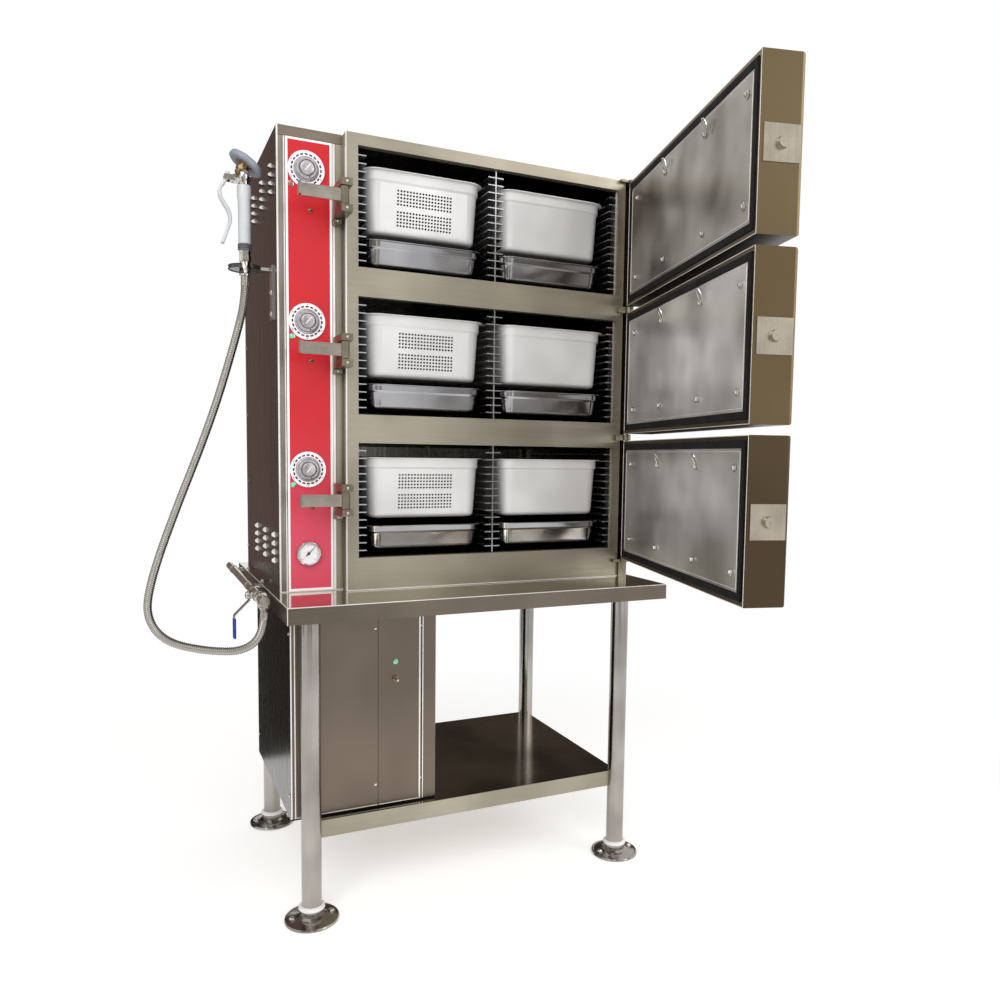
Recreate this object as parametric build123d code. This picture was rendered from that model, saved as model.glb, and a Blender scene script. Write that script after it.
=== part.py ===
from build123d import *
import math
import os

os.makedirs("parts", exist_ok=True)

# Three-compartment steam cabinet on an open stand, in millimetres.
# X to the right, Y to the back, Z up.  The origin is on the floor, midway
# between the four floor flanges.

# ---------------------------------------------------------------- pans and racks
# Two full-size gastronorm pans side by side set the width of the openings,
# and a deep pan over a shallow one sets their height.
PAN_W = 325.0
PAN_L = 530.0
PAN_SHEET = 1.2
PAN_FLANGE = 12.5
PAN_TAPER = 8.0              # how far each side wall leans in under its shoulder
PAN_SHOULDER = {"deep": 22.0, "shallow": 14.0}   # upright band under the flange
PAN_STEP = 4.0               # stacking step, as wide as it is high
PAN_FLOOR_R = 13.0           # rounded edge around the floor
DEEP_H = 150.0
SHALLOW_H = 62.0
PAN_CORNER = 50.0            # of the flange
PAN_RUNNER_GAP = 0.4
PAN_SIDE_PLAY = 30.5         # bay wider than its pan
PAN_BACK_GAP = 8.0           # behind the pan that stands deepest
PAN_STEP_GAP = 5.0           # least room under the deep pan's floor
PAN_FLOOR_GAP = 12.0         # under the shallow pan's floor
PAN_FRONT = {"bottom": 8.0, "middle": 8.0, "top": 24.0}   # behind the frame's face

RUNNER_PITCH = 18.6
RUNNER_FIRST = 17.0          # highest runner below the top of the opening
RUNNER_LAP = 7.25            # flange of a pan on its runner
RUNNER_T = 2.5
POST_T = 3.0
POST_W = 22.0
RACK_INSET = 10.0            # rack behind the frame's face
DEEP_RUNNER = 1              # runner under the deep pan's flange
SHALLOW_RUNNER = DEEP_RUNNER + math.ceil((DEEP_H + PAN_STEP_GAP) / RUNNER_PITCH)
RUNNER_W = PAN_SIDE_PLAY / 2 + RUNNER_LAP - POST_T / 2

# ---------------------------------------------------------------- cabinet
COLUMN_W = 152.0             # control column
FACE_SETBACK = 33.0          # control fascia behind the door frame
STILE_L = 28.0               # frame left of the openings
STILE_R = 22.0               # frame right of the openings
RAIL_H = 68.0                # frame between two openings
SILL_H = 80.0                # frame under the lowest opening
TOP_RAIL = 27.0              # frame above the highest opening
INSULATION = 25.0            # compartments' back wall to the cabinet's rear
FRAME_SHEET = 2.0
FRAME_DEPTH = 40.0           # outer returns of the frame
FRAME_REVEAL = 20.0          # returns around each opening
LOUVRE_FRONT = 108.0         # first column of louvres behind the frame's face
LOUVRE_PITCH = 140.0
TOP_FOLD = 22.0              # front edge of the cabinet's top, folded down over the fascia
LEVELS = ("bottom", "middle", "top")

OPEN_W = 2 * (PAN_W + PAN_SIDE_PLAY)
OPEN_H = RUNNER_FIRST + SHALLOW_RUNNER * RUNNER_PITCH + SHALLOW_H + PAN_FLOOR_GAP
OPEN_PITCH = OPEN_H + RAIL_H
RUNNERS = 1 + int((OPEN_H - RUNNER_FIRST - RUNNER_T) / RUNNER_PITCH)
CAB_W = COLUMN_W + STILE_L + OPEN_W + STILE_R
CAB_D = max(PAN_FRONT.values()) + PAN_L + PAN_BACK_GAP + INSULATION

# ---------------------------------------------------------------- stand
TOP_Z = 801.0                # upper face of the stand's top
TOP_H = 38.0                 # depth of its folded edge
TOP_LEFT, TOP_RIGHT = 20.0, 43.0      # top beyond the cabinet
TOP_FRONT, TOP_BACK = 177.0, 53.0
SHEET = 1.5                  # folded sheet used for casings
TOP_RETURN = 18.0            # inward return under the folded edge
LEG_IN_LEFT, LEG_IN_RIGHT = 83.0, 31.0   # leg centres from the top's edges
LEG_BEHIND = 9.0             # rear leg centres behind the cabinet
LEG_R = 24.15                # 48.3 mm tube
LEG_WALL = 2.0
FLANGE_R = 65.0
FLANGE_H = 12.0
FLANGE_HOLE_R = 5.5
FLANGE_HOLE_OFFSET = 47.0    # bolt holes either side of the leg, along X
FLANGE_COLLAR_R = 30.0
FLANGE_COLLAR_H = 30.0
SHELF_Z = 242.0              # upper face of the undershelf
SHELF_H = 43.0
SHELF_SHEET = 1.5

LEG_SPACING_X = TOP_LEFT + CAB_W + TOP_RIGHT - LEG_IN_LEFT - LEG_IN_RIGHT
LEG_SPACING_Y = CAB_D + LEG_BEHIND
TOP_X0 = -LEG_SPACING_X / 2 - LEG_IN_LEFT
TOP_X1 = LEG_SPACING_X / 2 + LEG_IN_RIGHT
CAB_X0 = TOP_X0 + TOP_LEFT
FACE_Y = -LEG_SPACING_Y / 2  # front face of the door frame, over the front legs
CAB_Y1 = FACE_Y + CAB_D
TOP_Y0 = FACE_Y - TOP_FRONT
TOP_Y1 = CAB_Y1 + TOP_BACK
LINER_Y1 = CAB_Y1 - INSULATION
FRAME_X0 = CAB_X0 + COLUMN_W
OPEN_X0 = FRAME_X0 + STILE_L
OPEN_X1 = OPEN_X0 + OPEN_W
OPEN_XC = (OPEN_X0 + OPEN_X1) / 2
FRAME_X1 = OPEN_X1 + STILE_R
OPEN_Z0 = TOP_Z + SILL_H     # sill of the lowest opening
CAB_Z1 = OPEN_Z0 + 2 * OPEN_PITCH + OPEN_H + TOP_RAIL
FASCIA_Y = FACE_Y + FACE_SETBACK

# ---------------------------------------------------------------- doors
HINGE_X = FRAME_X1 + 14.0
HINGE_Y = FACE_Y - 12.0
DOOR_OPEN = 75.0             # how far the doors stand open, in degrees
DOOR_SIDE_GAP = 5.0          # door's edge to the hinge axis
DOOR_EDGE_GAP = 4.0          # free edge to the latch bracket
DOOR_T = 88.0
DOOR_BACK_GAP = 3.0          # door's rim to the frame when shut
DOOR_LIFT = -5.0             # door's middle against the opening's middle
DOOR_H = OPEN_H + 48.6
DOOR_R = 9.0
DOOR_SKIN = 1.5
DOOR_RIM = 9.0               # turned-in rim around the back
GASKET_W = 14.0
GASKET_GAP = 0.4             # gasket to the frame when shut
GASKET_DEEP = 7.0
LUG_R = 11.0
LUG_T = 10.0
PIN_R = 5.0
PIN_CLEARANCE = 0.05
HINGE_PLATE_T = 8.0
HINGE_END_GAP = 2.0          # door to the hinge plates above and below it

STRIKE_W, STRIKE_H, STRIKE_T = 72.0, 68.0, 2.0
BUTTON_R = 10.0
BUTTON_L = 9.0
BUTTON_PLAY = 2.0            # button to the lugs of its latch bracket

# ---------------------------------------------------------------- latches
BRACKET_W = 26.0
BRACKET_H = 74.0
BRACKET_LIFT = 4.0           # bracket's middle against the opening's middle
BRACKET_REACH = 64.0         # how far it stands out in front of the frame
BRACKET_WEB = 18.0           # web in front of the frame, behind the handle
BRACKET_GAP_H = 2 * (BUTTON_R + BUTTON_PLAY + BRACKET_LIFT - DOOR_LIFT)   # slot for handle and button
HANDLE_L = 94.0
HANDLE_H = 28.0
HANDLE_T = 5.0
HANDLE_HUB_R = 8.0
HANDLE_PIN_R = 4.0
HANDLE_CURL = 14.0
HANDLE_GAP = 1.5             # handle to the lugs above and below it

# ---------------------------------------------------------------- controls
OVERLAY_X0, OVERLAY_W = CAB_X0 + 20.0, 106.0
OVERLAY_Z0, OVERLAY_Z1 = TOP_Z + 3.0, CAB_Z1 - 23.0
OVERLAY_T = 1.0
DIAL_X = CAB_X0 + 66.5
DIAL_LIFT = 74.0             # dial above the opening's middle
DIAL_R = 42.0
DIAL_T = 3.0
SKIRT_R = 26.5
SKIRT_H = 15.0
CAP_R = 16.0
SHAFT_R = 3.0
LAMP_X = CAB_X0 + 32.0
LAMP_LIFT = 38.0
LAMP_R = 6.5
LAMP_H = 6.0
GAUGE_Z = TOP_Z + 92.0
GAUGE_R = 28.0
GAUGE_H = 9.0
GAUGE_BODY_H = 30.0
MODULE_SIZE = 56.0
MODULE_DEPTH = 40.0

# ---------------------------------------------------------------- base
BASE_W = 367.0
BASE_LEG_GAP = 0.35          # front cover behind the front legs
BASE_BACK_GAP = 18.85        # casing's rear in front of the rear legs
BASE_X0 = CAB_X0 + 20.0
BASE_X1 = BASE_X0 + BASE_W
BASE_Y0 = -LEG_SPACING_Y / 2 + LEG_R + BASE_LEG_GAP + SHEET
BASE_Y1 = LEG_SPACING_Y / 2 - LEG_R - BASE_BACK_GAP
BASE_STRIP = 44.0            # fixed strip at the right of the covers
BASE_FLANGE = 10.0           # fixed strip at the left of the covers
BASE_SEAM_X = BASE_X0 + 215.0
BASE_LAMP_Z = TOP_Z - 189.0
BASE_SWITCH_Z = TOP_Z - 233.0
BASE_CONTROL_X = BASE_SEAM_X + 45.0
BOILER_R = 115.0
BOILER_H = 330.0
BOILER_LEG_H = 60.0
BOILER_WALL = 3.0
RISER_R = 14.0

# ---------------------------------------------------------------- spray set
GUN_X, GUN_Y = CAB_X0 - 62.0, FACE_Y + 100.0
HOOK_Z = CAB_Z1 - 315.0
HOOK_R = 36.0
HOOK_T = 7.0
GRIP_R = 15.5
GRIP_Z0 = HOOK_Z + 40.0
GRIP_Z1 = GRIP_Z0 + 148.0
NUT_R = 13.0
BUMPER_R = 41.0
BUMPER_T = 19.0
HEAD_TILT = 33.0
HEAD_SHIFT = -12.0           # neck's foot beside the grip's axis
NECK_L = 24.0
LEVER_T = 8.0
LEVER_W = 17.0
LEVER_PIN_R = 1.5
EAR_T = 2.5
HOSE_R = 9.5
HOSE_ROOT_R = 8.0
HOSE_BORE_R = 5.5
HOSE_RIBS = 84
HOSE_END = 22.0              # plain cuff at each end
PIPE_X, PIPE_Z = TOP_X0 - 27.0, TOP_Z - 6.0
PIPE_R = 10.0
PIPE_Y1 = TOP_Y1 - 10.0
CLIP_W = 20.0
CLIP_IN = 90.0               # pipe clips in from the ends of the pipe
VALVE_Y0 = TOP_Y0 + 177.0
VALVE_Y1 = VALVE_Y0 + 128.0
ELBOW_OUT = 32.0             # hose's end in front of the valve
VALVE_R = 15.0
VALVE_STEM_R = 5.0
VALVE_STEM_L = 25.0
VALVE_LEVER_T = 3.0
PIPE_BORE_R = 7.0


def box(x0, x1, y0, y1, z0, z1):
    """A block between two corners."""
    return Pos((x0 + x1) / 2, (y0 + y1) / 2, (z0 + z1) / 2) * Box(x1 - x0, y1 - y0, z1 - z0)


def rod(p, q, r):
    """A round bar between two points."""
    axis = Vector(*q) - Vector(*p)
    return Plane(origin=p, z_dir=axis) * extrude(Circle(r), axis.length)


def rod_y(x, y0, y1, z, r):
    """A round bar along Y."""
    return rod((x, y0, z), (x, y1, z), r)


def rod_z(x, y, z0, z1, r):
    """A round bar along Z."""
    return rod((x, y, z0), (x, y, z1), r)


def save(name, *solids):
    """Write one named piece, or one set of like pieces."""
    shape = solids[0] if len(solids) == 1 else Compound(children=list(solids))
    export_step(shape, f"parts/{name}.step")


def opening_z(level):
    """Sill height of an opening."""
    return OPEN_Z0 + LEVELS.index(level) * OPEN_PITCH


def opening_mid(level):
    """Middle height of an opening."""
    return opening_z(level) + OPEN_H / 2


def legs_xy():
    """Centres of the four legs."""
    return [(sx * LEG_SPACING_X / 2, sy * LEG_SPACING_Y / 2) for sx in (-1, 1) for sy in (-1, 1)]


# ================================================================ stand
def floor_flange(x, y):
    """Turned floor flange: domed plate, collar and two bolt holes."""
    profile = make_face(Polyline(
        (0, 0), (FLANGE_R, 0), (FLANGE_R, 4), (FLANGE_R - 6, 6), (FLANGE_COLLAR_R + 6, FLANGE_H),
        (FLANGE_COLLAR_R, FLANGE_H + 4), (FLANGE_COLLAR_R, FLANGE_COLLAR_H), (0, FLANGE_COLLAR_H), close=True))
    body = Pos(x, y, 0) * revolve(Plane.XZ * profile, Axis.Z)
    for side in (-1, 1):
        body -= rod_z(x + side * FLANGE_HOLE_OFFSET, y, -1, FLANGE_H + 5, FLANGE_HOLE_R)
    return body - rod_z(x, y, FLANGE_H / 2, FLANGE_COLLAR_H + 1, LEG_R)


def stand_leg(x, y):
    """Round tube leg from the flange's seat to the underside of the top."""
    z0, z1 = FLANGE_H / 2, TOP_Z - SHEET
    return rod_z(x, y, z0, z1, LEG_R) - rod_z(x, y, z0 - 1, z1 - 8, LEG_R - LEG_WALL)


def stand_top():
    """Folded sheet top with a deep edge and an inward return."""
    body = box(TOP_X0, TOP_X1, TOP_Y0, TOP_Y1, TOP_Z - TOP_H, TOP_Z)
    body -= box(TOP_X0 + SHEET, TOP_X1 - SHEET, TOP_Y0 + SHEET, TOP_Y1 - SHEET,
                TOP_Z - TOP_H + SHEET, TOP_Z - SHEET)
    return body - box(TOP_X0 + TOP_RETURN, TOP_X1 - TOP_RETURN, TOP_Y0 + TOP_RETURN, TOP_Y1 - TOP_RETURN,
                      TOP_Z - TOP_H - 1, TOP_Z - SHEET)


def leg_clearance():
    """Round cuts that let the legs pass the return under the top."""
    return [rod_z(x, y, TOP_Z - TOP_H - 1, TOP_Z - SHEET, LEG_R) for x, y in legs_xy()]


def undershelf():
    """Folded sheet shelf welded between the four legs."""
    hx, hy = LEG_SPACING_X / 2, LEG_SPACING_Y / 2
    body = box(-hx, hx, -hy, hy, SHELF_Z - SHELF_H, SHELF_Z)
    body -= box(-hx + SHELF_SHEET, hx - SHELF_SHEET, -hy + SHELF_SHEET, hy - SHELF_SHEET,
                SHELF_Z - SHELF_H - 1, SHELF_Z - SHELF_SHEET)
    for x, y in legs_xy():
        body -= rod_z(x, y, 0, SHELF_Z + 1, LEG_R)
    return body


def make_stand():
    top = stand_top()
    for cut in leg_clearance():
        top -= cut
    save("stand_top", top)
    save("undershelf", undershelf())
    save("stand_legs", *[stand_leg(x, y) for x, y in legs_xy()])
    save("floor_flanges", *[floor_flange(x, y) for x, y in legs_xy()])


# ================================================================ base unit
def base_casing():
    """Sheet casing under the left half of the top, open at the front."""
    z0, z1 = SHELF_Z, TOP_Z - SHEET
    body = box(BASE_X0, BASE_X1, BASE_Y0, BASE_Y1, z0, z1)
    body -= box(BASE_X0 + SHEET, BASE_X1 - SHEET, BASE_Y0 + SHEET, BASE_Y1 - SHEET, z0 + SHEET, z1 + 1)
    return body - box(BASE_X0 + BASE_FLANGE, BASE_X1 - BASE_STRIP, BASE_Y0 - 1, BASE_Y0 + SHEET + 1,
                      z0 + BASE_FLANGE, z1 + 1)


def base_cover(x0, x1):
    """Flat cover over the casing's open front, with its edges turned in."""
    z0, z1 = SHELF_Z + 4.0, TOP_Z - TOP_H - 2.0
    body = box(x0, x1, BASE_Y0 - SHEET, BASE_Y0, z0, z1)
    for x in (x0 + 12.0, x1 - 12.0 - SHEET):
        body += box(x, x + SHEET, BASE_Y0, BASE_Y0 + 12.0, z0 + BASE_FLANGE + 2, z1 - 4)
    return body


def toggle_lever():
    """Bat lever of the base switch, on its ball."""
    z, y = BASE_SWITCH_Z, BASE_Y0 - SHEET
    ball = Pos(BASE_CONTROL_X, y - 1.0, z) * Sphere(3.2)
    return ball + Pos(BASE_CONTROL_X, y - 1.0, z) * Rot(90, 0, 0) * extrude(Circle(1.6), 17.0, taper=-3)


def boiler():
    """Upright steam boiler with dished ends, three feet and a riser."""
    x, y = (BASE_X0 + BASE_X1) / 2, (BASE_Y0 + BASE_Y1) / 2
    z0 = SHELF_Z + SHEET + BOILER_LEG_H
    dish = 24.0
    profile = make_face(Polyline(
        (0, 0), (BOILER_R * 0.6, 4), (BOILER_R, dish), (BOILER_R, BOILER_H - dish),
        (BOILER_R * 0.6, BOILER_H - 4), (0, BOILER_H), close=True))
    wall = BOILER_WALL
    hollow = make_face(Polyline(
        (0, wall), (BOILER_R * 0.6, 4 + wall), (BOILER_R - wall, dish + wall), (BOILER_R - wall, BOILER_H - dish - wall),
        (BOILER_R * 0.6, BOILER_H - 4 - wall), (0, BOILER_H - wall), close=True))
    body = Pos(x, y, z0) * (revolve(Plane.XZ * profile, Axis.Z) - revolve(Plane.XZ * hollow, Axis.Z))
    body += rod_z(x, y, z0 + BOILER_H - wall, TOP_Z - SHEET, RISER_R)
    for k in range(3):
        a = math.radians(90 + 120 * k)
        fx, fy = x + 0.85 * BOILER_R * math.cos(a), y + 0.85 * BOILER_R * math.sin(a)
        body += box(fx - 10, fx + 10, fy - 10, fy + 10, SHELF_Z + SHEET, z0 + dish)
    return body - Pos(x, y, z0) * revolve(Plane.XZ * hollow, Axis.Z)


def make_base():
    x_end = BASE_X1 - BASE_STRIP + 6.0
    save("base_casing", base_casing())
    save("base_front_cover", base_cover(BASE_X0 + 4.0, BASE_SEAM_X))
    control = base_cover(BASE_SEAM_X + 1.0, x_end)
    control -= rod_y(BASE_CONTROL_X, BASE_Y0 - 5, BASE_Y0 + 1, BASE_SWITCH_Z, 3.6)
    control -= rod_y(BASE_CONTROL_X, BASE_Y0 - 5, BASE_Y0 + 1, BASE_LAMP_Z, LAMP_R - 2)
    save("base_control_cover", control)
    save("base_switch_lever", toggle_lever())
    save("boiler", boiler())


# ================================================================ cabinet
def cabinet_casing():
    """Top, right side and rear of the cabinet, folded from one sheet."""
    x0, y0 = CAB_X0 + SHEET, FACE_Y + FRAME_DEPTH
    body = box(x0, FRAME_X1, y0, CAB_Y1, TOP_Z, CAB_Z1)
    body -= box(x0 - 1, FRAME_X1 - SHEET, y0 - 1, CAB_Y1 - SHEET, TOP_Z - 1, CAB_Z1 - SHEET)
    body += box(x0, FRAME_X0, FASCIA_Y - SHEET, y0, CAB_Z1 - SHEET, CAB_Z1)
    return body + box(CAB_X0, FRAME_X0, FASCIA_Y - SHEET, FASCIA_Y, CAB_Z1 - TOP_FOLD, CAB_Z1)


def louvre(y, z):
    """Small triangular scoop pressed out of the side panel."""
    half, height, out = 11.0, 14.0, 7.0
    sketch = make_face(Polyline((-half, 0), (half, 0), (0, height), close=True))
    return Pos(CAB_X0, y, z) * Rot(0, 0, -90) * Rot(90, 0, 0) * extrude(sketch, out, taper=25)


def cabinet_left_panel():
    """Flat side panel with two groups of pressed louvres."""
    body = box(CAB_X0, CAB_X0 + SHEET, FASCIA_Y, CAB_Y1, TOP_Z, CAB_Z1)
    for column in range(3):
        for row in range(4):
            y = FACE_Y + LOUVRE_FRONT + LOUVRE_PITCH * column
            body += louvre(y, CAB_Z1 - 78.0 - 20.0 * row)
            body += louvre(y, TOP_Z + 63.0 + 21.0 * row)
    return body


def front_frame():
    """Folded face frame around the three openings."""
    y0, y1 = FACE_Y, FACE_Y + FRAME_DEPTH
    t = FRAME_SHEET
    body = box(FRAME_X0, FRAME_X1, y0, y1, TOP_Z, CAB_Z1)
    body -= box(FRAME_X0 + t, FRAME_X1 - t, y0 + t, y1 + 1, TOP_Z + t, CAB_Z1 - t)
    for level in LEVELS:
        z = opening_z(level)
        body += box(OPEN_X0 - t, OPEN_X1 + t, y0 + t, y0 + FRAME_REVEAL, z - t, z + OPEN_H + t)
        body -= box(OPEN_X0, OPEN_X1, y0 - 1, y1, z, z + OPEN_H)
    return body


def compartment_liner(level):
    """Steam compartment: a sheet box open at the front."""
    z, y0 = opening_z(level), FACE_Y + FRAME_REVEAL
    t = SHEET
    body = box(OPEN_X0 - t, OPEN_X1 + t, y0, LINER_Y1 + t, z - t, z + OPEN_H + t)
    return body - box(OPEN_X0, OPEN_X1, y0 - 1, LINER_Y1, z, z + OPEN_H)


def make_cabinet():
    save("cabinet_casing", cabinet_casing())
    save("cabinet_left_panel", cabinet_left_panel())
    save("front_frame", front_frame())
    save("compartment_liners", *[compartment_liner(level) for level in LEVELS])


# ================================================================ racks and pans
def runner_z(level, k):
    """Upper face of runner k, counted down from the top of the opening."""
    return opening_z(level) + OPEN_H - RUNNER_FIRST - k * RUNNER_PITCH


def rack(level, x, sides):
    """Two uprights with runners standing out to the given sides."""
    z0, z1 = opening_z(level), opening_z(level) + OPEN_H
    y0 = FACE_Y + RACK_INSET
    y1 = y0 + PAN_L
    body = box(x - POST_T / 2, x + POST_T / 2, y0, y0 + POST_W, z0, z1)
    body += box(x - POST_T / 2, x + POST_T / 2, y1 - POST_W, y1, z0, z1)
    for k in range(RUNNERS):
        z = runner_z(level, k)
        left = RUNNER_W if -1 in sides else POST_T / 2
        right = RUNNER_W if 1 in sides else POST_T / 2
        body += box(x - left, x + right, y0, y1, z - RUNNER_T, z)
    return body


def side_racks():
    """Racks against both side walls of every compartment."""
    left, right = OPEN_X0 + POST_T / 2, OPEN_X1 - POST_T / 2
    return [rack(level, x, (side,)) for level in LEVELS for x, side in ((left, 1), (right, -1))]


def bay_centre(side):
    """Middle of the left (-1) or right (1) bay."""
    return OPEN_XC + side * OPEN_W / 4


def pan_form(w, l, r, shoulder, drop, floor_r):
    """Solid of a pan's outside or inside: upright shoulder, step, leaning walls and rounded floor."""
    step = PAN_STEP
    neck = RectangleRounded(w - 2 * step, l - 2 * step, r - step)
    body = extrude(RectangleRounded(w, l, r), -shoulder)
    body += loft([Pos(0, 0, -shoulder) * RectangleRounded(w, l, r), Pos(0, 0, -shoulder - step) * neck], ruled=True)
    wall_h = drop - shoulder - step
    walls = extrude(neck, wall_h, taper=math.degrees(math.atan2(PAN_TAPER, wall_h)))
    walls = fillet(walls.faces().sort_by(Axis.Z)[-1].edges(), floor_r)
    return body + Pos(0, 0, -shoulder - step) * Rot(180, 0, 0) * walls


def pan(level, side, kind):
    """Full-size pan with its flat flange, hung on its runners."""
    height, runner = {"deep": (DEEP_H, DEEP_RUNNER), "shallow": (SHALLOW_H, SHALLOW_RUNNER)}[kind]
    shoulder, t = PAN_SHOULDER[kind], PAN_SHEET
    w, l, r = PAN_W - 2 * PAN_FLANGE, PAN_L - 2 * PAN_FLANGE, PAN_CORNER - PAN_FLANGE
    body = extrude(RectangleRounded(PAN_W, PAN_L, PAN_CORNER), -t)
    body += pan_form(w, l, r, shoulder, height, PAN_FLOOR_R)
    body -= Pos(0, 0, 0.001) * pan_form(w - 2 * t, l - 2 * t, r - t, shoulder, height - t, PAN_FLOOR_R - t)
    y = FACE_Y + PAN_FRONT[level] + PAN_L / 2
    return Pos(bay_centre(side), y, runner_z(level, runner) + PAN_RUNNER_GAP + t) * body


def make_racks_and_pans():
    save("side_racks", *side_racks())
    save("centre_racks", *[rack(level, OPEN_XC, (-1, 1)) for level in LEVELS])
    for level in LEVELS:
        for side, word in ((-1, "left"), (1, "right")):
            save(f"deep_pan_{word}_{level}", pan(level, side, "deep"))
            save(f"shallow_pan_{word}_{level}", pan(level, side, "shallow"))


# ================================================================ doors
BRACKET_X1 = FRAME_X0                        # latch bracket beside the frame
DOOR_X0 = BRACKET_X1 + DOOR_EDGE_GAP
DOOR_X1 = HINGE_X - DOOR_SIDE_GAP
DOOR_Y1 = FACE_Y - DOOR_BACK_GAP
DOOR_Y0 = DOOR_Y1 - DOOR_T


def door_span(level):
    """Lower and upper edge of a door."""
    z = opening_mid(level) + DOOR_LIFT
    return z - DOOR_H / 2, z + DOOR_H / 2


def swing(shape):
    """Turn a shut door's piece to where the door stands open."""
    return Pos(HINGE_X, HINGE_Y, 0) * Rot(0, 0, DOOR_OPEN) * Pos(-HINGE_X, -HINGE_Y, 0) * shape


def door_shell(level):
    """Deep door pan with rounded outer edges, strike plate and hinge lugs."""
    z0, z1 = door_span(level)
    body = box(DOOR_X0, DOOR_X1, DOOR_Y0, DOOR_Y1, z0, z1)
    body = fillet(body.faces().sort_by(Axis.Y)[0].edges(), DOOR_R)
    t, r = DOOR_SKIN, DOOR_RIM
    body -= box(DOOR_X0 + t, DOOR_X1 - t, DOOR_Y0 + t + DOOR_R / 3, DOOR_Y1 - t, z0 + t, z1 - t)
    body -= box(DOOR_X0 + r, DOOR_X1 - r, DOOR_Y1 - t - 1, DOOR_Y1 + 1, z0 + r, z1 - r)
    zs = opening_mid(level) + DOOR_LIFT
    ys = DOOR_Y1 - DOOR_T / 2
    body += box(DOOR_X0 - STRIKE_T, DOOR_X0, ys - STRIKE_W / 2, ys + STRIKE_W / 2, zs - STRIKE_H / 2, zs + STRIKE_H / 2)
    body += rod((DOOR_X0, ys, zs), (DOOR_X0 - STRIKE_T - BUTTON_L, ys, zs), BUTTON_R)
    for za, zb in ((z0, z0 + LUG_T), (z1 - LUG_T, z1)):
        body += rod_z(HINGE_X, HINGE_Y, za, zb, LUG_R)
        body += box(DOOR_X1 - DOOR_SKIN, HINGE_X, HINGE_Y - LUG_R, HINGE_Y + DOOR_Y1 - HINGE_Y, za, zb)
        body -= rod_z(HINGE_X, HINGE_Y, za - 1, zb + 1, PIN_R + PIN_CLEARANCE)
    return swing(body)


def door_gasket(level):
    """Square-section seal around the door's inner panel."""
    z0, z1 = door_span(level)
    r, g = DOOR_RIM + 1.0, GASKET_W
    y0, y1 = DOOR_Y1 - GASKET_DEEP, FACE_Y - GASKET_GAP
    body = box(DOOR_X0 + r, DOOR_X1 - r, y0, y1, z0 + r, z1 - r)
    return swing(body - box(DOOR_X0 + r + g, DOOR_X1 - r - g, y0 - 1, y1 + 1, z0 + r + g, z1 - r - g))


def door_liner(level):
    """Inner door panel: a raised tray whose edge carries the gasket."""
    z0, z1 = door_span(level)
    r, g = DOOR_RIM + 1.0, GASKET_W + 1.0
    y1 = DOOR_Y1 - GASKET_DEEP
    back = DOOR_SKIN + 0.2
    hinge_side = LUG_R - DOOR_SIDE_GAP + 0.5
    body = box(DOOR_X0 + back, DOOR_X1 - hinge_side, y1 - SHEET, y1, z0 + back, z1 - back)
    body += box(DOOR_X0 + r + g, DOOR_X1 - r - g, y1, DOOR_Y1 + 1.0, z0 + r + g, z1 - r - g)
    return swing(body - box(DOOR_X0 + r + g + SHEET, DOOR_X1 - r - g - SHEET, y1 - SHEET - 1, DOOR_Y1 + 1.0 - SHEET,
                            z0 + r + g + SHEET, z1 - r - g - SHEET))


def hinge_plate(z0, z1, up, down):
    """Plate on the frame's right edge with a pin up, down or both ways."""
    body = rod_z(HINGE_X, HINGE_Y, z0, z1, LUG_R)
    body += box(FRAME_X1, HINGE_X + LUG_R, HINGE_Y, FACE_Y + FRAME_DEPTH, z0, z1)
    body += box(FRAME_X1 - 20, FRAME_X1, HINGE_Y, FACE_Y, z0, z1)
    reach = HINGE_END_GAP + LUG_T
    if up:
        body += rod_z(HINGE_X, HINGE_Y, z1, z1 + reach, PIN_R)
    if down:
        body += rod_z(HINGE_X, HINGE_Y, z0 - reach, z0, PIN_R)
    return body


def hinge_plates():
    """Plates below, between and above the three doors."""
    spans = [door_span(level) for level in LEVELS]
    gap = HINGE_END_GAP
    foot = hinge_plate(spans[0][0] - gap - HINGE_PLATE_T, spans[0][0] - gap, True, False)
    foot += box(FRAME_X1, HINGE_X + LUG_R, FACE_Y - 8, FACE_Y + 8, TOP_Z, spans[0][0] - gap - HINGE_PLATE_T)
    between = [hinge_plate(low[1] + gap, high[0] - gap, True, True) for low, high in zip(spans, spans[1:])]
    top = hinge_plate(spans[2][1] + gap, spans[2][1] + gap + HINGE_PLATE_T - 2, False, True)
    return [foot, *between, top]


def make_doors():
    for level in LEVELS:
        save(f"door_shell_{level}", door_shell(level))
        save(f"door_gasket_{level}", door_gasket(level))
        save(f"door_liner_{level}", door_liner(level))
    save("hinge_plates", *hinge_plates())


# ================================================================ latches
HANDLE_PIN_X = BRACKET_X1 - BRACKET_W + 10.0
HANDLE_PIN_Y = FACE_Y - BRACKET_REACH + 12.0


def latch_bracket(level):
    """Forked bracket beside the frame, with the handle's pin in it."""
    z = opening_mid(level) + BRACKET_LIFT
    y0 = FACE_Y - BRACKET_REACH
    x0, x1 = BRACKET_X1 - BRACKET_W, BRACKET_X1
    body = box(x0, x1, y0, FASCIA_Y, z - BRACKET_H / 2, z + BRACKET_H / 2)
    body -= box(x0 - 1, x1 + 1, y0 - 1, FACE_Y - BRACKET_WEB, z - BRACKET_GAP_H / 2, z + BRACKET_GAP_H / 2)
    return body + rod_z(HANDLE_PIN_X, HANDLE_PIN_Y, z - BRACKET_GAP_H / 2, z + BRACKET_GAP_H / 2, HANDLE_PIN_R)


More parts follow.
